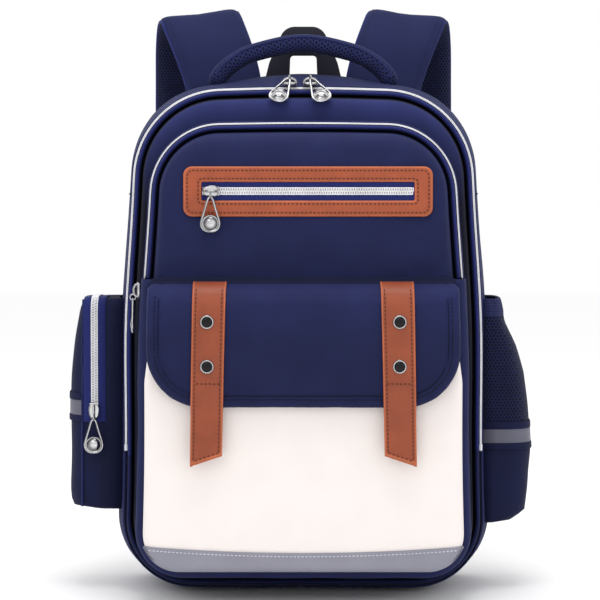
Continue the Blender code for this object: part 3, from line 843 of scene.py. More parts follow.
def gusset():
    places = spots(BELLY, 280)
    depths = (71.7, 70, 66, 60, 52, 44, 36, 30, 22, 14, 6, -2, -10, -17, -21, -23.2)
    rows = [swell(ring(inset(gusset_face(y), -fullness(y), bottom=0), places, y), 0.9, 60, 2.0) for y in depths]
    rows += layer_rows(ZIP_EDGE, [(0.25, -24.3), (0.9, -24.9), (1.8, -24.6)], places)
    sheet("gusset", rows, ["navy", "lining"], "shell", ["lower_gusset", "top_gusset"], 2.5, None, 1, closed_u=True)
    for side, tag in SIDES:
        line = [(side * (body_side(y, 330) + fullness(y) + 0.2), y, 330) for y in range(68, -22, -3)]
        trim(f"side_seam_{tag}", swell(line, 0.9, 60, 2.0), 0.6, "navy_thread", "shell", (side, 0, 0))


def outside(obj):
    """Point the normals of a ring-shaped sheet away from the bag's middle."""
    total = 0.0
    for face in obj.data.polygons:
        total += face.normal.dot(Vector((face.center.x, 0, face.center.z - 0.215))) * face.area
    if total < 0:
        obj.data.flip_normals()
    return obj


def fill_holes(obj):
    bm = bmesh.new()
    bm.from_mesh(obj.data)
    bmesh.ops.holes_fill(bm, edges=[e for e in bm.edges if e.is_boundary], sides=0)
    bmesh.ops.recalc_face_normals(bm, faces=bm.faces)
    bm.to_mesh(obj.data)
    bm.free()
    return obj


def solid(name, rows, materials, body, nodes, **options):
    """Rings closed at both ends, put on their body."""
    return place(fill_holes(grid(name, rows, materials, closed_u=True, **options)), body, materials[0], nodes)


def rear():
    places = spots(REAR, 220)
    face = inset(REAR, 3.4, bottom=4.4)
    layers = [(12, 71.6, 0.02), (12, 71.6, 0.4), (12, 71.6, 0.8), (12, 71.6), (2, 71.8), (0, 73), (0, 77.5),
              (1.6, 79.3), (5, 80), (12, 80.2), (12, 80.2, 0.8), (12, 80.2, 0.4), (12, 80.2, 0.02)]
    rows = layer_rows(face, layers, places)
    obj = fill_holes(grid("back_panel", rows, ["lining", "mesh"], closed_u=True, pick=lambda j, i: int(j > 5)))
    place(obj, "shell", "mesh", ["back_panel"])
    path = ring(inset(REAR, -0.1, bottom=0.9), spots(REAR, 260), 75.6)
    section = [(1.0, -3.4), (1.3, -2.4), (1.3, 2.4), (1.0, 3.4), (0.2, 3.9), (-1.6, 3.9), (-3.2, 3.4), (-3.2, 2.6),
               (-0.6, 2.4), (-0.6, -2.4), (-3.2, -2.6), (-3.2, -3.4), (-1.6, -3.9), (0.2, -3.9)]
    obj = swept("rear_binding", path, section, ["webbing"], closed=True)
    place(obj, "shell", "webbing", ["rear_binding"])
    stitches("rear_binding_stitches", ring(inset(REAR, 2.0, bottom=2.9), spots(REAR, 260), 79.6), "navy_thread",
             "shell", pitch=4.2, length=2.6, up=BACK, closed=True)


def main_zip():
    """The chain round the mouth, half on the gusset and half on the door."""
    zip_halves("main", ZIP_EDGE, 300, 0.9, 1.4, 0.42,
               (("rear", 1.1, ZIP_END, -25.4, "shell"), ("front", 2.2, ZIP_END, -26.6, "front_door")))
    for side, tag in SIDES:
        x = side * (half_width(ZIP_EDGE, ZIP_END) - 1.8)
        trim(f"main_zip_stop_{tag}", [(x, -26.2, 118.5), (x, -26.6, 121), (x, -26.4, 123.5)], 1.5, "coil", "shell")


def door():
    """Front panel with its zip tape: its lower part is sewn to the gusset, the rest folds down."""
    layers = [(12, -21, 0.02), (12, -21, 0.4), (12, -21, 0.8), (12, -21), (5.4, -21.3), (3.7, -23), (3.1, -26),
              (3.1, -28), (3.8, -29.4), (4.8, -30), (5.9, -29.6), (6.8, -28), (7.4, -25.4), (8.1, -24),
              (8.8, -25.2), (9.2, -30), (9.6, -36), (10.5, -40), (12.4, -42.9), (15.4, -44.2), (20, -44.7),
              (30, -44.9), (30, -44.9, 0.8), (30, -44.9, 0.4), (30, -44.9, 0.02)]
    places = spots(ZIP_EDGE, 280)
    rows = layer_rows(ZIP_EDGE, layers, places)
    rows[17:21] = crease(rows[17:21], 0.5, 50, 1.0)
    heights = [p[2] for p in rows[8]]

    def pick(j, i):
        if j < 6:
            return 3
        if j < 10:
            return 1 if heights[i] > ZIP_END - 4 else 0
        # Rows 11 to 16, down in the groove, take the painted groove shade; rows 17 to 21 take the band painted dark
        # low on the sides and lit along the top.
        return 2 if 11 <= j < 17 else 4 if 17 <= j < 22 else 0

    obj = solid("door", rows, ["door", "blue_tape", "groove_shade", "lining", "band_shade_and_top_light"], FOLDS,
                ["door_panel", "lower_front_panel"], pick=pick)


def compartment():
    """Side wall of the front compartment and the padded roll round its lower part."""
    layers = [(-1.6, -43.2), (-1.6, -46), (-1.4, -50), (-1.0, -55), (-0.5, -60), (0, -62.6), (0.5, -63.6),
              (1.6, -64)]
    rows = [swell(row, 0.5, 40, 4.0) for row in layer_rows(FRONT_ZIP, layers, spots(FRONT_ZIP, 260))]
    sheet("compartment_wall", rows, ["navy", "lining"], FOLDS, ["compartment", "lower_compartment"], 2.2, None, 1,
          closed_u=True)
    low = spots(FRONT_ZIP, 220, high=COVER_LINE)
    layers = [(-0.2, -60), (-0.9, -62), (-1.2, -66), (-1.3, -71), (-0.8, -76), (0.6, -80), (2.6, -82.8),
              (4.8, -84), (8, -84), (14, -83.6), (14, -83.6, 0.8), (14, -83.6, 0.5), (14, -83.6, 0.02)]
    rows = layer_rows(FRONT_ZIP, layers, low, CREAM_CORE, COVER_LINE)
    rows[1:7] = [swell(row, 0.5, 30, 7.0) for row in rows[1:7]]
    sheet("compartment_roll", rows, ["navy", "lining"], FOLDS, (), 2.0, inner=1, closed_u=True, caps=(-1,),
          keep=lambda c: c.z < COVER_LINE - 0.5)
    seam = ring(inset(FRONT_ZIP, -0.75), low, -60.4)
    stitches("roll_stitches", seam, "navy_thread", FOLDS, pitch=4, length=2.4)


def cover():
    """Padded face of the front compartment, with the inner half of its zip."""
    places = spots(FRONT_ZIP, 220, low=COVER_LINE + 0.4)
    layers = [(16, -63.6, 0.02), (16, -63.6, 0.5), (16, -63.6), (5, -63.8), (3.0, -65), (2.5, -66.8),
              (2.9, -68.4), (3.9, -69.3), (5.0, -69.2), (6.0, -68), (6.8, -65.8), (7.4, -64.8), (8.2, -65.6),
              (8.7, -69.5), (9.2, -74), (10.4, -78.4), (12.6, -81.6), (16, -83.2), (21, -83.8), (30, -84.1),
              (40, -84.3), (40, -84.5, 0.85), (40, -84.6, 0.65), (40, -84.6, 0.4), (40, -84.5, 0.02)]
    rows = layer_rows(FRONT_ZIP, layers, places, COVER_CORE, COVER_LINE + 0.4)
    rows[14:] = crease(rows[14:], 0.6, 60, 3.0, COVER_CORE)
    # Rows 9 to 11, the groove between the zip tape and the face, take the painted groove shade.
    obj = grid("cover", rows, ["cover", "blue_tape", "groove_shade", "lining"], closed_u=True, caps=(0, -1),
               pick=lambda j, i: 3 if j < 4 else 1 if j < 8 else 2 if 9 <= j < 12 else 0)
    obj = place(obj, "front_cover", "cover", ["cover_panel"])
    zip_halves("front", FRONT_ZIP, 240, 0.7, 1.3, 0.34,
               (("rear", 0.8, 256, -64.8, "front_door"), ("front", 1.6, COVER_LINE + 1, -65.8, "front_cover")))


# ================================================================ leather-framed zip

FRAME_X, FRAME_Z = 3.7, 332.3
FRAME_HALF_X, FRAME_HALF_Z = 99.5, 20


def box_row(x, z, half_x, half_z, radius, y):
    """Rounded rectangle outline at one depth, with the same points on every side and corner."""
    corners = fillet([(x + a * half_x, z + b * half_z, radius) for a, b in ((1, -1), (1, 1), (-1, 1), (-1, -1))], 6)
    points = []
    for k in range(0, len(corners), 7):
        points += corners[k:k + 7] + between(corners[k + 6], corners[(k + 7) % len(corners)], 36)
    return [(px, y, pz) for px, pz in points]


def leather_frame():
    edge = ((0, -84.4), (0, -86), (0.5, -86.7), (1.3, -87))
    rows = [box_row(FRAME_X, 332, FRAME_HALF_X - depth, FRAME_HALF_Z - depth, 7 - depth, y) for depth, y in edge]
    rows += [box_row(FRAME_X, 332.2, 85 + depth, 7.4 + depth, 1.2 + depth, y) for depth, y in edge[::-1]]
    obj = grid("leather_frame", rows, ["leather", "leather_edge"], closed_u=True, closed_v=True,
               pick=lambda j, i: 0 if j in (3, 7) else 1)
    place(obj, "front_cover", "leather", ["leather_frame"])
    for tag, box in (("outer", (332, 96.4, 16.9, 4.5)), ("inner", (332.2, 87.6, 10, 2.6))):
        stitches(f"frame_{tag}_stitches", box_row(FRAME_X, *box, -87), "brown_thread", "front_cover",
                 pitch=3.25, length=1.9, radius=0.5, closed=True)
    tape = swept("frame_tape", [(FRAME_X + x, -85.0, 332.2) for x in range(-90, 91, 5)],
                 [(9.5, -0.5), (9.5, 0.2), (2.2, 0.4), (0, 0.1), (-2.2, 0.4), (-9.5, 0.2), (-9.5, -0.5)],
                 ["blue_tape"])
    place(tape, "front_cover", "blue_tape", ["frame_zip"])
    for sign, tag, phase in ((-1, "low", 0.0), (1, "high", 0.5)):
        line = [(FRAME_X + x, -85.7, FRAME_Z + sign * 2.6) for x in range(-84, 85, 4)]
        zip_row(f"frame_zip_chain_{tag}", line, FRONT, sign * 3.0, "front_cover", phase=phase)


# ================================================================ cream pocket

CREAM = POCKET._replace(top=POCKET_MOUTH, r_top=3)
CREAM_PROFILE = [(0, -91.6), (0.4, -93.4), (1.4, -95.2), (3, -96.3), (5.5, -96.9), (9, -97.1), (16, -97.3),
                 (30, -97.7), (60, -98.1), (200, -98.3)]


def profile(table, distance):
    for (d0, y0), (d1, y1) in zip(table, table[1:]):
        if distance <= d1:
            return y0 + (y1 - y0) * (distance - d0) / (d1 - d0)
    return table[-1][1]


def cream_pocket():
    places = spots(CREAM, 240)
    rows = [ring(inset(CREAM, depth, top=0), places, y)
            for depth, y in [(0.4, -83.2), (0, -86), (0, -89)] + CREAM_PROFILE[:-2]]
    core = (60, 90, 999)
    for t, y in ((0.8, -97.9), (0.6, -98.1), (0.3, -98.2), (0.04, -98.2)):
        rows.append(shrunk(rows[10], t, core, y))
    rows = [[(x * (1 - 0.02 * clamp((z - 180) / 20)), y, z) for x, y, z in row] for row in rows]
    rows[3:] = crease(rows[3:], 0.5, 70, 9.0, core)
    sheet("cream_pocket", rows, ["cream"], FOLDS, ["pocket_upper", "pocket_lower"], 2.0, closed_u=True, caps=(-1,),
          keep=lambda c: c.z < POCKET_MOUTH - 0.6 or c.y < -97.9)


def reflective_band():
    edge = Edge(CREAM)
    rows, seam = [[] for _ in range(11)], []

    def depth(x, z, lift):
        return profile(CREAM_PROFILE, edge.distance(x, z)) - lift

    for x in spread(half_width(CREAM, CREAM.bottom) - 1.7, 80, 0.35):
        top = 43.8 + 5.2 * (x / 127) ** 2
        low = CREAM.bottom + corner_rise(CREAM, x)
        for row, y in zip(rows, (-86, -90)):
            row.append((x * 1.004, y, low - 0.7))
        for j in range(9):
            z = low + (top - low) * j / 8
            rows[j + 2].append((x, depth(x, z, 1.2), z))
        seam.append((x, depth(x, top - 2.8, 1.35), top - 2.8))
    sheet("reflective_band", rows, ["reflective"], "shell", ["reflective_band"], 0.9)
    stitches("reflective_stitches", [p for p in seam if abs(p[0]) < 124], "grey_thread", "shell", pitch=3.1,
             length=1.8, radius=0.4)


def corner_rise(face, x):
    """Height of a face's lower edge above its bottom at x."""
    low = half_width(face, face.bottom)
    start = low - face.r_low
    over = min(max(abs(x) - start, 0), face.r_low * 0.999)
    return face.r_low - math.sqrt(face.r_low ** 2 - over ** 2)


# ================================================================ flap

ROLL = [(-84.8, 263.6), (-85.6, 260.4), (-88.2, 258.4), (-92.5, 257.9), (-97, 257.5), (-101.5, 255.8),
        (-104.8, 252.8), (-106.6, 249.4), (-107.2, 246)]


TURN_Z, FLAP_FACE_Y = 246, -107.2      # where the flap's roll ends and its flat face begins
HANG_Z = 166      # below this the leather straps hang free


def flap_middle(z):
    """Depth of the flap's face at a height, away from its edges."""
    if z > TURN_Z:
        return FLAP_FACE_Y
    return FLAP_FACE_Y - 1.6 * math.sin(math.pi * min((TURN_Z - z) / 90, 1)) + 0.012 * max(200 - z, 0)


def flap_point(edge, x, z):
    d = edge.distance(x, z)
    if z > 235:
        d = min(d if d < 40 else 40, span(FLAP, min(z, 250)) - abs(x))
    fall = 4.6 * (1 - rounded(d, 5.0))
    dip = 1.5 * math.exp(-((d - 9.8) / 1.5) ** 2)
    puff = 0.9 * rounded(d - 10.5, 14.0) if d > 10.5 else 0
    return (x, flap_middle(z) + fall + dip - puff + ripple((x, 0, z), 48, 0.5, 11.0), z)


def flap():
    edge = Edge(FLAP._replace(top=330))
    rows = []
    for k in range(35):
        z = FLAP.bottom + (TURN_Z - FLAP.bottom) * (k / 34) ** 1.25
        rows.append([flap_point(edge, x, z) for x in spread(span(FLAP, max(z, FLAP.bottom + 0.02)), 96, 0.45)])
    for _, y, z in smooth_path([(0, y, z) for y, z in reversed(ROLL)], 2)[1:]:
        half = span(FLAP, TURN_Z) - 0.27 * max(z - 255, 0)
        back, down = min((y - FLAP_FACE_Y) / 21, 1), min((y - FLAP_FACE_Y) / 12, 1)
        row = []
        for x in spread(half, 96, 0.45):
            d = half - abs(x)
            fall = 4.0 * (1 - rounded(d, 5.0)) + 0.9 * math.exp(-((d - 9.8) / 1.3) ** 2)
            row.append((x, y + fall * (1 - back), z - fall * down * 0.6))
        rows.append(row)
    # The flap's back rows, which rise under the cover, take the painted shade of the gap between cover and flap.
    obj = sheet("flap", rows, ["flap", "lining", "painted_shade", "lining"], LIFTS, ["flap_panel", "flap_binding"], 3.6,
                inner=1, pick=lambda j, i: 2 if rows[j][48][1] > -90 else 0)
    border, seam = (inset(FLAP, depth, top=0)._replace(top=300) for depth in (6.6, 9.8))
    places = spots(border, 220, high=249)
    line = [flap_point(edge, x, z) for x, _, z in ring(border, places, 0)]
    stitches("flap_stitches", line, "navy_thread", "flap", pitch=3.3, length=2.0, radius=0.45)
    line = [flap_point(edge, x, z) for x, _, z in ring(seam, places, 0)]
    # Dark cord along the flap's seam: the seam thread, and painted shade of the crease it lies in.
    trim("flap_seam", [(x, y + 0.2, z) for x, y, z in line], 0.55, "navy_thread", "flap")
    return edge


def leather_straps(edge):
    normals = [Vector((b[0] - a[0], b[1] - a[1])).orthogonal().normalized() for a, b in zip(ROLL, ROLL[2:])]
    top = [(y - 2.6 * abs(n.x), z + 2.6 * abs(n.y)) for (y, z), n in zip(ROLL[1:], normals)][2:]
    across = (0, 0.012, 0.045, 0.1, 0.2, 0.35, 0.5, 0.65, 0.8, 0.9, 0.955, 0.988, 1)
    foot = (122.7, 114.2)      # inner and outer end of the slanted foot
    for side, tag in SIDES:

        def strap_row(y, heights):
            row = []
            for s, z in zip(across, heights):
                inner, outer = lerp((61.0, 87.5), (64.5, 89.9), clamp((259.5 - z) / 140))
                x = inner + (outer - inner) * s
                bevel = 0.7 * (1 - rounded(min(s, 1 - s) * 26, 0.9))
                row.append((side * x, (strap_depth(edge, x, z) if y is None else y) + bevel, z))
            return row

        rows = [strap_row(y, [z] * 13) for y, z in top]
        rows += [strap_row(None, [TURN_Z - 5.5 * k] * 13) for k in range(1, 17)]
        rows += [strap_row(None, [158 + (foot[0] + (foot[1] - foot[0]) * s - 158) * j / 12 for s in across])
                 for j in range(1, 13)]
        last = len(rows) - 2
        # The straps' face uses the leather darkened as painted shade.
        sheet(f"leather_strap_{tag}", rows, ["strap_leather", "leather_edge"], "flap", [f"leather_strap_{tag}"], 2.2,
              pick=lambda j, i: 1 if i in (0, 1, 10, 11) or j == last else 0)
        lines = {name: [strap_spot(rows, s, j) for j in range(3, len(rows) - 1)]
                 for s, name in ((0.11, "inner"), (0.89, "outer"))}
        lines["middle"] = [Vector((side * x, strap_depth(edge, x, 180.5), 180.5)) for x in (66, 70, 74, 78, 82, 86)]
        lines["foot"] = [Vector(rows[-1][i]) + Vector((0, 0, 3.4)) for i in range(3, 10)]
        for name, line in lines.items():
            stitches(f"strap_stitches_{name}_{tag}", line, "brown_thread", "flap", pitch=3.2, length=1.9, radius=0.5)
        for z, name, node in ((229, "upper", "rivet_"), (SNAP_Z, "lower", "snap_cap_")):
            y = strap_depth(edge, SNAP_X, z)
            snap(f"snap_{name}_{tag}", (side * SNAP_X, y + 0.2, z), node + tag)
        stud = [(5.2, -0.2), (5.2, 0.3), (4.6, 0.6), (3.0, 0.6), (2.6, 1.6), (2.1, 2.1), (0.3, 2.2)]
        obj = lathe(f"stud_{tag}", (side * SNAP_X, -98.0, SNAP_Z), FRONT, stud, "chrome")
        place(obj, "front_door", "chrome", [f"snap_stud_{tag}"])


def strap_depth(edge, x, z):
    """Depth of the leather strap's face: over the flap, then hanging free below it."""
    if z >= HANG_Z:
        return min(flap_point(edge, x, z)[1], flap_middle(z) - 0.2) - 2.5
    drop = HANG_Z - z
    return flap_middle(HANG_Z) - 3.0 + 0.012 * drop + 0.6 * math.sin(drop / 16)


def strap_spot(rows, s, j):
    point = Vector(lerp(rows[j][0], rows[j][-1], s))
    point.y = rows[j][6][1]
    return point


def snap(name, centre, node):
    """Black domed cap in a bright ring."""
    ring_profile = [(5.5, -0.2), (5.6, 0.5), (5.3, 1.2), (4.7, 1.5), (4.2, 1.2), (4.0, 0.7), (1, 0.7)]
    place(lathe(name + "_ring", centre, FRONT, ring_profile, "chrome"), "flap", "chrome")
    dome = [(4.1, 0.5)] + [(4.1 * math.cos(a), 0.9 + 1.3 * math.sin(a)) for a in (0, 0.3, 0.6, 0.9, 1.2, 1.45)]
    place(lathe(name + "_dome", centre, FRONT, dome, "enamel"), "flap", "enamel", [node])


# ================================================================ side pockets

POCKET_MID_Y, POCKET_HALF_Y = 24.0, 38.0
POCKET_FRONT_Y = POCKET_MID_Y - POCKET_HALF_Y
CUFF_Z = 227      # foot of the bottle pocket's elastic cuff


def left_outer(z):
    return 195.7 - 10 * max((z - 150) / 93, 0) ** 2


BOTTLE_PROFILE = [(55, 175), (66, 186.5), (87, 190), (118, 191.3), (148, 189.5), (181, 185.5), (205, 178),
                  (228, 168), (243, 165)]


def bottle_outer(z):
    return profile(BOTTLE_PROFILE, z)


def side_arc(z, outer, side, lift=0.0, count=48, reach=1.0):
    """Plan curve of a side pocket, from its front seam round to its rear seam."""
    points = []
    for k in range(count + 1):
        angle = math.radians(-90 + 180 * k / count)
        y = POCKET_MID_Y + (POCKET_HALF_Y + lift) * math.copysign(abs(math.sin(angle)) ** 0.7, angle)
        base = body_side(y, z) + 0.2
        bulge = (outer + lift - base) * reach
        points.append((side * (base + bulge * max(math.cos(angle), 0) ** 0.45), y, z))
    return points


def pocket_band(name, side, outer, low, high, lift, limit, material, nodes=()):
    """Strip of cloth round the outside of a side pocket."""
    rows = []
    for z in (low, low + (high - low) * 0.1, (low + high) / 2, high - (high - low) * 0.1, high):
        rows.append(side_arc(z, outer(z), side, lift - (0.35 if z in (low, high) else 0)))
    keep = [i for i, p in enumerate(rows[2]) if abs(p[0]) > limit]
    rows = [[row[i] for i in keep] for row in rows]
    sheet(name, rows, [material], "shell", nodes, 0.9, (side, 0, 0))


def wavy(points, side, amount, size, seed):
    return [(x + side * ripple((x, y, z), size, amount, seed), y + ripple((y, z, x), size, amount * 0.5, seed), z)
            for x, y, z in points]


def left_pocket():
    side = -1
    levels = [(67, -12, 0.15), (67.6, -6, 0.7), (70, -2, 1), (75, -0.4, 1), (82, 0, 1)]
    levels += [(82 + 7.5 * k, 0, 1) for k in range(1, 21)]
    levels += [(236, -0.3, 1), (240, -1.4, 1), (242.6, -3.4, 0.96), (243.8, -7, 0.8), (243.6, -12, 0.15)]
    rows = [wavy(side_arc(z, left_outer(min(z, 243)), side, lift, reach=reach), side, 1.1, 34, 3.0)
            for z, lift, reach in levels]
    # The left pocket is navy darkened as painted shade; its columns that turn in towards the bag take the deeper
    # painted shade.
    sheet("left_pocket", rows, ["navy_side_painted_shade", "painted_shade", "lining"], "shell", ["left_pocket"], 2.2, (side, 0, 0), 1,
          pick=lambda j, i: int(abs(rows[j][i][0]) < 166))
    line = [(-173.3, POCKET_FRONT_Y + 0.1, z) for z in range(141, 234, 6)]
    line += [(x, POCKET_FRONT_Y + dy, z) for x, dy, z in (
        (-173.2, 0.5, 237), (-173, 2.2, 241.6), (-172.8, 6, 244), (-172.4, 13, 244.6), (-172, 24, 244.6),
        (-171.8, 36, 244.4))]
    line = smooth_path(line, 3)
    ups = [Vector((1, 0, 0)).cross(tangent) for _, tangent, _, _ in frames(line, (0, -1, 0.001))]
    ups = [up if up.y < 0.2 or up.z > 0 else -up for up in ups]
    tape = swept("side_zip_tape", line, [(9, -0.6), (9.2, 0), (8.8, 0.4), (4, 0.6), (0, 0.3), (-4, 0.6), (-8.8, 0.4),
                                         (-9.2, 0), (-9, -0.6)], ["blue_tape"], ups)
    place(tape, "shell", "blue_tape", ["left_pocket_zip"])
    for sign, phase, tag in ((-1, 0.0, "outer"), (1, 0.5, "inner")):
        toothed = [(p, up) for p, up in zip(line, ups) if p.z > 149 or p.y > 0]
        shifted = [p + Vector((sign * 2.5, 0, 0)) + up * 0.9 for p, up in toothed]
        lifts = [up for _, up in toothed]
        reach = -sign * 2.9 * (1 if frames(shifted, lifts)[4][2].x > 0 else -1)
        zip_row(f"side_zip_chain_{tag}", shifted, lifts, reach, "shell", phase=phase)
    seam = [(x - 0.4, y - 0.4, z) for x, y, z in map(seam_spot, range(70, 243, 4))]
    trim("left_pocket_piping", seam, 1.1, "navy_trim", "shell", (-1, -1, 0))
    # Reflector and its bindings in colours darkened as painted shade.
    pocket_band("left_pocket_reflector", side, left_outer, 145.3, 159.4, 0.9, 183, "reflector",
                ["left_pocket_reflector"])
    pocket_band("left_reflector_binding_low", side, left_outer, 141, 146, 1.5, 183, "navy_side_painted_shade")
    pocket_band("left_reflector_binding_high", side, left_outer, 158.8, 164.6, 1.5, 183, "navy_side_painted_shade")


def seam_spot(z):
    """Front corner of the left pocket at a height."""
    arc = side_arc(z, left_outer(z), -1)
    return min(arc, key=lambda p: abs(p[0] + 183) + (0 if p[1] < POCKET_MID_Y else 500))


def bottle_pocket():
    side = 1
    levels = [(55.5, -12, 0.1), (56, -6, 0.6), (58, -2.5, 1), (62, -0.8, 1), (66, 0, 1)]
    levels += [(66 + 6 * k, 0, 1) for k in range(1, 27)] + [(226, 0, 1), (229, 0.2, 1), (233, 0.8, 1), (238, 0.8, 1),
                                                           (242, 0.5, 1), (243.4, 0, 1)]
    rows = []
    for z, lift, reach in levels:
        arc = side_arc(z, bottle_outer(min(z, 243)), side, lift, count=96, reach=reach)
        if z > CUFF_Z:
            arc = [(x + 0.5 * math.sin(k * 1.7), y + 0.3 * math.sin(k * 1.7), zz) for k, (x, y, zz) in enumerate(arc)]
        rows.append(wavy(arc, side, 1.4 if z < 225 else 0.5, 38, 8.0))
    # Bottle pocket: navy darkened as painted shade at its base, mesh darkened as painted shade above, then the cuff.
    kinds = [0 if z < 118 else 1 if z < CUFF_Z else 2 for z, _, _ in levels]
    obj = grid("bottle_pocket", rows, ["navy_side_painted_shade", "painted_shade_mesh", "cuff"], pick=lambda j, i: kinds[j])
    thicken(facing(obj, (side, 0, 0)), 1.8)
    place(obj, "shell", "painted_shade_mesh", ["bottle_pocket_base", "bottle_pocket_mesh", "bottle_pocket_cuff"])
    # Reflector and its bindings in colours darkened as painted shade.
    pocket_band("bottle_reflector", side, bottle_outer, 122.5, 135.5, 0.8, 149, "reflector",
                ["bottle_pocket_reflector"])
    pocket_band("bottle_binding_low", side, bottle_outer, 117.5, 123.2, 1.2, 149, "navy_side_painted_shade")
    pocket_band("bottle_binding_high", side, bottle_outer, 134.8, 140.5, 1.2, 149, "navy_side_painted_shade")


# ================================================================ straps and handles

PAD_PATH = [(68, 88, 401), (70, 91, 428), (81, 101, 462), (92, 122, 483), (97, 146, 464), (98, 154, 420),
            (98.5, 152, 360), (102, 147, 300), (107, 140, 240), (112, 132, 190)]
LOWER_WEBBING_PATH = [(131, 87, 34), (128, 98, 68), (120, 116, 118), (113, 126, 162)]
TAIL_PATH = [(112, 133, 182), (112, 138, 150), (111, 140, 110), (111, 139, 72)]
FLAT_WEBBING = [(12.5, -0.5), (12.5, 0.5), (11.8, 0.9), (6, 0.95), (0, 0.9), (-6, 0.95), (-11.8, 0.9), (-12.5, 0.5),
                (-12.5, -0.5), (-11.8, -0.9), (-6, -0.95), (0, -0.9), (6, -0.95), (11.8, -0.9)]


def strap_ups(path, side, tilt=0.0):
    """Outward directions of a shoulder strap: square to the path and to its width."""
    across = Vector((1, 0, -side * tilt)).normalized()
    return [across.cross(tangent).normalized() for _, tangent, _, _ in frames(path, FRONT)]


def webbing(name, points, steps, side, body, nodes=()):
    """Flat webbing through the points, its face square to the bag's width."""
    path = smooth_path(points, steps)
    place(swept(name, path, FLAT_WEBBING, ["webbing"], strap_ups(path, side)), body, "webbing", nodes)


def strap_width(f):
    return 62 + 4 * min(f / 0.3, 1) - 28 * max((f - 0.75) / 0.25, 0)


def shoulder_straps():
    for side, tag in SIDES:
        body = f"shoulder_strap_{tag}"
        pad, low, tail = ([(side * x, y, z) for x, y, z in path]
                          for path in (PAD_PATH, LOWER_WEBBING_PATH, TAIL_PATH))
        path = smooth_path(pad, 9)
        ups = strap_ups(path, side, 0.11)
        if ups[0].y > 0:
            ups = [-up for up in ups]
        # The outward half of the pad's section is navy; the half against the back is mesh darkened as painted shade.
        obj = swept(f"shoulder_pad_{tag}", path, lambda f: pad_section(strap_width(f), 10.5, 36, 0.32),
                    ["navy", "painted_shade_mesh"], ups, pick=lambda j, i: 0 if i < 18 else 1)
        obj = place(obj, body, "navy", [f"shoulder_pad_{tag}"])
        for sign, edge_tag, colour in ((-1, "a", "blue_tape"), (1, "b", "navy_trim")):
            line, inner = [], []
            for i, (point, _, across, _) in enumerate(frames(path, ups)):
                line.append(point + across * sign * (strap_width(i / (len(path) - 1)) / 2 - 0.2))
                inner.append(line[-1] - across * sign * 5 + ups[i] * 4.15)
            trim(f"strap_piping_{tag}_{edge_tag}", line, 1.5, colour, body, ups)
            stitches(f"strap_seam_{tag}_{edge_tag}", inner[2:-2], "navy_thread", body, pitch=3.6, length=2.2,
                     up=(0, -1, 0.3), lift=0)
        webbing(f"lower_webbing_{tag}", low, 8, side, ("shell", body, ((0, 90, 45), (0, 122, 150))),
                [f"webbing_lower_{tag}"])
        webbing(f"webbing_tail_{tag}", tail, 8, side, body, [f"webbing_tail_{tag}"])
        ladder_lock(tag, side * LOCK_X, body)


LOCK_X, LOCK_Z = 112, 175


def ladder_lock(tag, x, body):
    """Moulded frame with three bars, the webbing woven through it."""
    edge = ((0.8, 123.4), (0, 124.2), (0, 127.8), (0.8, 128.6))
    rows = [box_row(x, LOCK_Z, 16 - depth, 11 - depth, 3, y) for depth, y in edge]
    rows += [box_row(x, LOCK_Z, 13.2 + depth, 8.4 + depth, 1.6, y) for depth, y in edge[::-1]]
    frame_piece = grid(f"ladder_lock_{tag}", rows, ["buckle"], closed_u=True, closed_v=True)
    bars = [tube("bar", [(x + dx, 126 + dy, z) for dx in (-14, 0, 14)], r, "buckle", BACK)
            for z, r, dy in ((LOCK_Z, 2.2, 0), (183.4, 1.8, 1.2), (166.6, 1.8, -0.6))]
    place(join(frame_piece, *bars), body, "buckle", [f"ladder_lock_{tag}"])
    loop = ((127.5, 196), (124, 188), (122.6, 181), (126, 178.6), (129.6, 176), (126.4, 172), (124, 168), (126, 162))
    webbing(f"lock_webbing_{tag}", [(x, y, z) for y, z in loop], 4, 1, body)


def strap_anchors():
    rows = [box_row(0, 386, 103 - depth, 12.4 - depth * 0.9, max(6 - depth, 1.5), y)
            for depth, y in ((0, 80), (0, 86), (0.8, 89.6), (2.6, 91.6), (6, 92.4), (9, 92.6))]
    solid("strap_yoke", rows, ["navy_trim"], "shell", ["strap_yoke"])
    for z in (381, 391):
        stitches(f"yoke_stitches_{z}", [(x, 92.5, z) for x in range(-90, 91, 6)], "navy_thread", "shell", up=BACK)
    for side, tag in SIDES:
        shape = [(side * x, z, 2.5) for x, z in ((146, 27), (116, 15), (114, 30), (136, 48))][::-side]
        points, middle = fillet(shape, 5), side * 128

        def tab_row(t, y):
            return [(middle + (x - middle) * t, y, 30 + (z - 30) * t) for x, z in points]

        rows = [tab_row(t, y) for t, y in ((1, 80), (1, 82.6), (0.97, 83.6), (0.9, 84.2), (0.3, 84.4))]
        solid(f"strap_tab_{tag}", rows, ["navy_trim"], "shell", [f"strap_tab_{tag}"])
        stitches(f"tab_stitches_{tag}", tab_row(0.86, 84.3), "navy_thread", "shell", pitch=2.8, length=1.7, up=BACK,
                 closed=True)


def back_pads():
    for side, tag in SIDES:
        x, z = side * 63, 207
        rows = [box_row(x, z, 49 - depth, 155 - depth, max(24 - depth * 0.8, 4), y) for depth, y in (
            (0, 79.6), (0, 82), (0.6, 84.6), (2, 87.2), (4.6, 89.2), (9, 90.2), (14, 90.6), (20, 90.8))]
        rows += [[lerp((x, 90.8, z), (px, 90.8, pz), t) for px, _, pz in rows[7]] for t in (0.7, 0.4, 0.05)]
        rows[:8] = crease(rows[:8], 0.5, 40, 6.0 + side, (0, z, z))
        obj = solid(f"back_pad_{tag}", rows, ["air_mesh"], "shell", [f"back_pad_{tag}"])
        trim(f"back_pad_piping_{tag}", box_row(x, z, 49.4, 155.4, 24, 81.2), 1.5, "navy_trim", "shell", BACK, True)


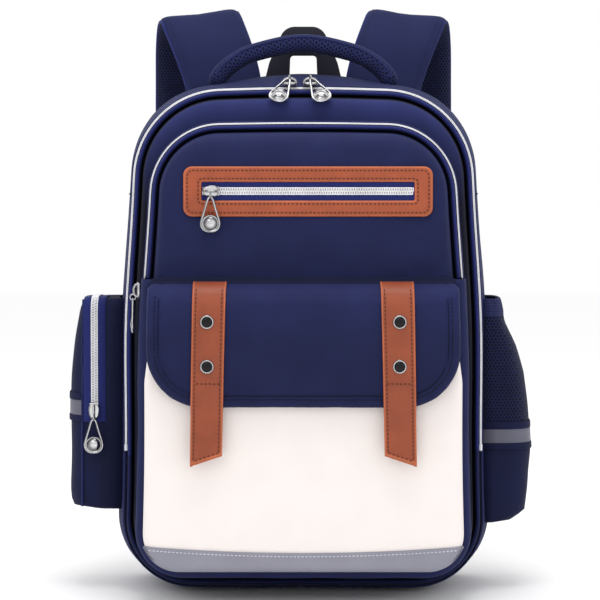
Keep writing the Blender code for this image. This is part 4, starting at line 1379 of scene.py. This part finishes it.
def grab_handle():
    half = [(74, 421), (70, 430), (59, 440.3), (40, 449.6)]
    points = [(-x, 30, z) for x, z in half] + [(0, 30, 457.2)] + [(x, 30, z) for x, z in half[::-1]]
    path = smooth_path(points, 10)

    def section(f):
        full = clamp(4 * math.sin(math.pi * f)) ** 0.5
        return pad_section(15 + 7 * full, 11 + 3.8 * full, 28, 0.6)

    obj = swept("grab_handle", path, section, ["navy", "mesh"], UP, pick=lambda j, i: 0 if 3 <= i < 14 else 1)
    obj = place(obj, "carry_handle", "navy", ["grab_handle"])
    for offset, tag in (((0, -9.9, 4.6), "front"), ((0, 10.9, 1.2), "rear")):
        line = [point + Vector(offset) for point in path[3:-3]]
        trim(f"handle_piping_{tag}", line, 1.1, "navy_trim", "carry_handle", UP)


def hanging_loop():
    """Folded webbing: two legs that flare over the rear seam and a round top."""
    outer = fillet([(33, 429, 0), (29.5, 443, 8), (16, 474, 13), (-16, 474, 13), (-29.5, 443, 8), (-33, 429, 0)], 12)
    inner = fillet([(12, 429, 0), (11.2, 449, 3), (-11.2, 449, 3), (-12, 429, 0)], 12)
    rows = []
    for a, b in zip(resample(outer, 90), resample(inner, 90)):
        row = []
        for t, y in ((0, 0.9), (0, -0.9), (0.04, -1.5), (0.5, -1.7), (0.96, -1.5), (1, -0.9), (1, 0.9), (0.96, 1.5),
                     (0.5, 1.7), (0.04, 1.5)):
            x, z = lerp(a, b, t)
            row.append((x, 75 + y + 0.02 * max(455 - a[1], 0), z))
        rows.append(row)
    obj = grid("hanging_loop", rows, ["webbing"], closed_u=True, caps=(0, -1), cloth=True)
    place(obj, "top_loop", "webbing", ["hanging_loop"])
    line = ring(inset(REAR, -0.6), spots(REAR, 60, low=422), 75)
    trim("loop_binding", line, 1.8, "webbing", "shell", BACK)


# ================================================================ sliders and pulls

def axes(along_axis, outward):
    a = Vector(along_axis).normalized()
    out = Vector(outward).normalized()
    return a, a.cross(out).normalized(), out


def slider(name, centre, along_axis, outward):
    """Cast slider: two plates, flared shoulders and an arched bridge."""
    a, side, out = axes(along_axis, outward)
    base = Vector(centre)

    def spot(u, v, h):
        return tuple(base + (a * u + side * v) + out * h)

    outline_points = []
    for k in range(40):
        c, s = math.cos(TAU * k / 40), math.sin(TAU * k / 40)
        u = 6.4 * math.copysign(abs(c) ** 0.6, c)
        wing = 4.6 if u > 1 else 3.6 + (u + 6.5) * 0.13
        outline_points.append((u, wing * math.copysign(abs(s) ** 0.6, s)))
    rows = [[spot(u * t, v * t, h) for u, v in outline_points]
            for h, t in ((-0.6, 0.9), (-0.2, 1), (1.5, 1), (2.1, 0.93), (2.3, 0.75), (2.3, 0.1))]
    body_piece = fill_holes(grid(name, rows, ["chrome"], closed_u=True))
    arch = [spot(u, 0, h) for u, h in ((-4.6, 1.6), (-4.2, 3.4), (-1.5, 4.7), (2, 4.7), (4.6, 3.4), (5, 1.6))]
    bridge = tube("bridge", smooth_path(arch, 4), 1.05, "chrome", tuple(side))
    lip = tube("lip", [spot(6.1, v, 1.8) for v in (-3.6, -1.8, 0, 1.8, 3.6)], 0.8, "chrome", tuple(out))
    place(join(body_piece, bridge, lip), name, "chrome", [name])


def pull(name, pivot, direction, outward):
    """Wire teardrop with a plain domed disc at its round end, on a small ring."""
    down, side, out = axes(direction, outward)
    base = Vector(pivot)

    def spot(u, v, h=0.0):
        return base + down * u + side * v + out * h

    wire = [(2.6, 0), (3.4, 1.4), (6, 2.5), (11, 3.9), (16, 5.4), (20.5, 6.8), (24, 7.3), (27, 6.4), (29.3, 3.9),
            (30, 0)]
    wire = wire + [(u, -v) for u, v in wire[-2:0:-1]]
    loop = smooth_path([spot(u, v) for u, v in wire] + [spot(*wire[0])], 3)[:-1]
    pieces = [tube(name, loop, 0.95, "chrome", up=tuple(out), closed=True, sides=12)]
    small = [spot(1.2 + 2.3 * math.cos(a), 0, 2.3 * math.sin(a)) for a in (TAU * k / 20 for k in range(20))]
    pieces.append(tube("ring", small, 0.7, "chrome", up=tuple(side), closed=True))
    disc = [(6.4, -1.2), (7.0, -0.6), (7.1, 0.5), (6.5, 1.3), (5.7, 1.1), (5.2, 0.7), (4.6, 1.2), (3.4, 1.9),
            (1.8, 2.3), (0.2, 2.4)]
    pieces.append(lathe("disc", spot(23.4, 0), out, disc, "chrome", 40))
    place(join(*pieces), name, "chrome", [name])


MEETING_X = -2.7      # where the two main sliders meet


def zip_hardware():
    for sign, tag in SIDES:
        x = MEETING_X + sign * 8.4
        slider(f"main_slider_{tag}", (x, -26, 420.2), (sign, 0, 0), (0, -0.25, 1))
        pull(f"main_pull_{tag}", (x, -32, 425.5), (sign * 0.38, -0.64, -0.66), (0, -0.72, 0.69))
    slider("front_slider", (-131.9, -66, 252), UP, (-1, -0.1, 0))
    pull("front_pull", (-137.4, -66.5, 248), (0, 0, -1), (-1, 0, 0))
    slider("frame_slider", (-74, -86.9, FRAME_Z), (1, 0, 0), FRONT)
    pull("frame_pull", (-74, -92.5, 330), (0, 0, -1), FRONT)
    slider("side_slider", (-173.5, POCKET_FRONT_Y - 2.3, 150), UP, FRONT)
    pull("side_pull", (-173.5, POCKET_FRONT_Y - 7.6, 146), (0, 0, -1), FRONT)


# ================================================================ stuffing

BLOW_FRAMES = 20

# Padded pieces: name, trims that lie on it, voxel, most movement, extra thickness of the stand-in,
# direction it may move in, and how much of the movement each point takes.
Padding = namedtuple("Padding", "piece trims voxel most slab outward share")


def clear_of_frame(point):
    """1 on the cover well away from the leather frame, the flap and the zip, 0 beneath them."""
    x, _, z = (value / MM for value in point)
    beyond = math.hypot(max(abs(x - FRAME_X) - FRAME_HALF_X, 0), max(abs(z - 332) - FRAME_HALF_Z, 0))
    return min(beyond / 16, 1) * clamp((z - 266) / 14)


def paddings():
    straps = [f"leather_strap_{tag}" for _, tag in SIDES]
    trims = [name for name in PIECES if name.startswith(("flap_", "strap_stitches", "snap_"))]
    yield Padding("flap", straps + trims, 4.5, 2.4, 8.0, FRONT,
                  lambda p: clamp((p.z - 0.15) / 0.02) * clamp((0.257 - p.z) / 0.012))
    yield Padding("cover", [], 4.5, 2.2, 0.0, FRONT, clear_of_frame)
    yield Padding("grab_handle", ["handle_piping_front", "handle_piping_rear"], 4.0, 0.9, 0.0, None, None)
    for _, tag in SIDES:
        yield Padding(f"back_pad_{tag}", [], 5.0, 2.6, 0.0, BACK, lambda p: clamp((p.y - 0.083) / 0.005))
        trims = [name for name in PIECES if name.startswith(("strap_piping_" + tag, "strap_seam_" + tag))]
        yield Padding(f"shoulder_pad_{tag}", trims, 4.5, 1.6, 0.0, None, None)


def stand_in(job):
    """Even closed mesh of a padded piece, ready to be blown up as cloth."""
    obj = linked("stand_in_" + job.piece, PIECES[job.piece].data.copy())
    if job.slab:
        bake(thicken(obj, job.slab, 0))
    remesh = obj.modifiers.new("remesh", "REMESH")
    remesh.mode = "VOXEL"
    remesh.voxel_size = job.voxel * MM
    bake(obj)
    cloth = obj.modifiers.new("cloth", "CLOTH")
    settings = cloth.settings
    settings.quality, settings.mass = 5, 0.2
    settings.use_pressure, settings.uniform_pressure_force = True, 4
    settings.effector_weights.gravity = 0
    cloth.point_cache.frame_start, cloth.point_cache.frame_end = 1, BLOW_FRAMES
    return obj


def stuff():
    """Blow the stand-ins up as cloth under a light pressure, then move every padded piece and the trims
    on it the same way, outwards only."""
    jobs = [(job, stand_in(job)) for job in paddings()]
    rests = [[(v.co.copy(), v.normal.copy()) for v in obj.data.vertices] for _, obj in jobs]
    for number in range(1, BLOW_FRAMES + 1):
        bpy.context.scene.frame_set(number)
    graph = bpy.context.evaluated_depsgraph_get()
    for (job, obj), rest in zip(jobs, rests):
        settled = [v.co.copy() for v in obj.evaluated_get(graph).data.vertices]
        kept = [(co, normal * min(max((new - co).dot(normal), 0), job.most * MM))
                for (co, normal), new in zip(rest, settled)
                if not job.outward or normal.dot(Vector(job.outward)) > 0.3]
        tree = kdtree.KDTree(len(kept))
        for i, (co, _) in enumerate(kept):
            tree.insert(co, i)
        tree.balance()
        for name in (job.piece, *job.trims):
            for v in PIECES[name].data.vertices:
                near = [(kept[i][1], 1 / (distance + 0.001)) for _, i, distance in tree.find_n(v.co, 8)]
                move = sum((delta * weight for delta, weight in near), Vector()) / sum(w for _, w in near)
                v.co += move * (job.share(v.co) if job.share else 1)
    bpy.context.scene.frame_set(1)
    for _, obj in jobs:
        bpy.data.objects.remove(obj, do_unlink=True)


# ================================================================ studio

def studio():
    mesh = bpy.data.meshes.new("floor")
    mesh.from_pydata([(-6, -6, 0), (6, -6, 0), (6, 6, 0), (-6, 6, 0)], [], [(0, 1, 2, 3)])
    floor = linked("floor", mesh)
    surface = Shader("floor_paint", 0.9)
    surface.shader.inputs["Base Color"].default_value = (0.97, 0.97, 0.975, 1)
    mesh.materials.append(surface.material)
    for name, place_at, aim, size, power in (
            ("key", (-0.9, -2.2, 1.9), (0, 0, 0.25), 1.2, 7), ("fill", (1.7, -1.8, 0.9), (0, 0, 0.22), 1.4, 2),
            ("top", (0.0, -0.35, 1.6), (0, 0, 0.3), 0.7, 9), ("rim", (-0.6, 1.9, 1.3), (0, 0, 0.3), 1.2, 3)):
        data = bpy.data.lights.new(name, "AREA")
        data.size, data.energy = size, power
        lamp = linked(name, data)
        lamp.location = place_at
        lamp.rotation_euler = (Vector(aim) - Vector(place_at)).to_track_quat("-Z", "Y").to_euler()
    world = bpy.data.worlds.new("studio")
    bpy.context.scene.world = world
    world.use_nodes = True
    background = world.node_tree.nodes["Background"]
    background.inputs["Color"].default_value = (1, 1, 1, 1)
    background.inputs["Strength"].default_value = 1.0
    camera = linked("camera", bpy.data.cameras.new("camera"))
    camera.data.lens, camera.data.sensor_width = 143.9, 36
    camera.location = (0, -2.0, 0.33)
    aim = Vector((-0.0028, 0, 0.2416)) - camera.location
    camera.rotation_euler = aim.to_track_quat("-Z", "Y").to_euler()
    scene = bpy.context.scene
    scene.camera = camera
    scene.view_settings.view_transform = "Standard"
    scene.view_settings.look = "None"


# ================================================================ build

gusset()
rear()
main_zip()
door()
compartment()
cover()
leather_frame()
cream_pocket()
reflective_band()
leather_straps(flap())
left_pocket()
bottle_pocket()
shoulder_straps()
strap_anchors()
back_pads()
grab_handle()
hanging_loop()
zip_hardware()
stuff()
studio()
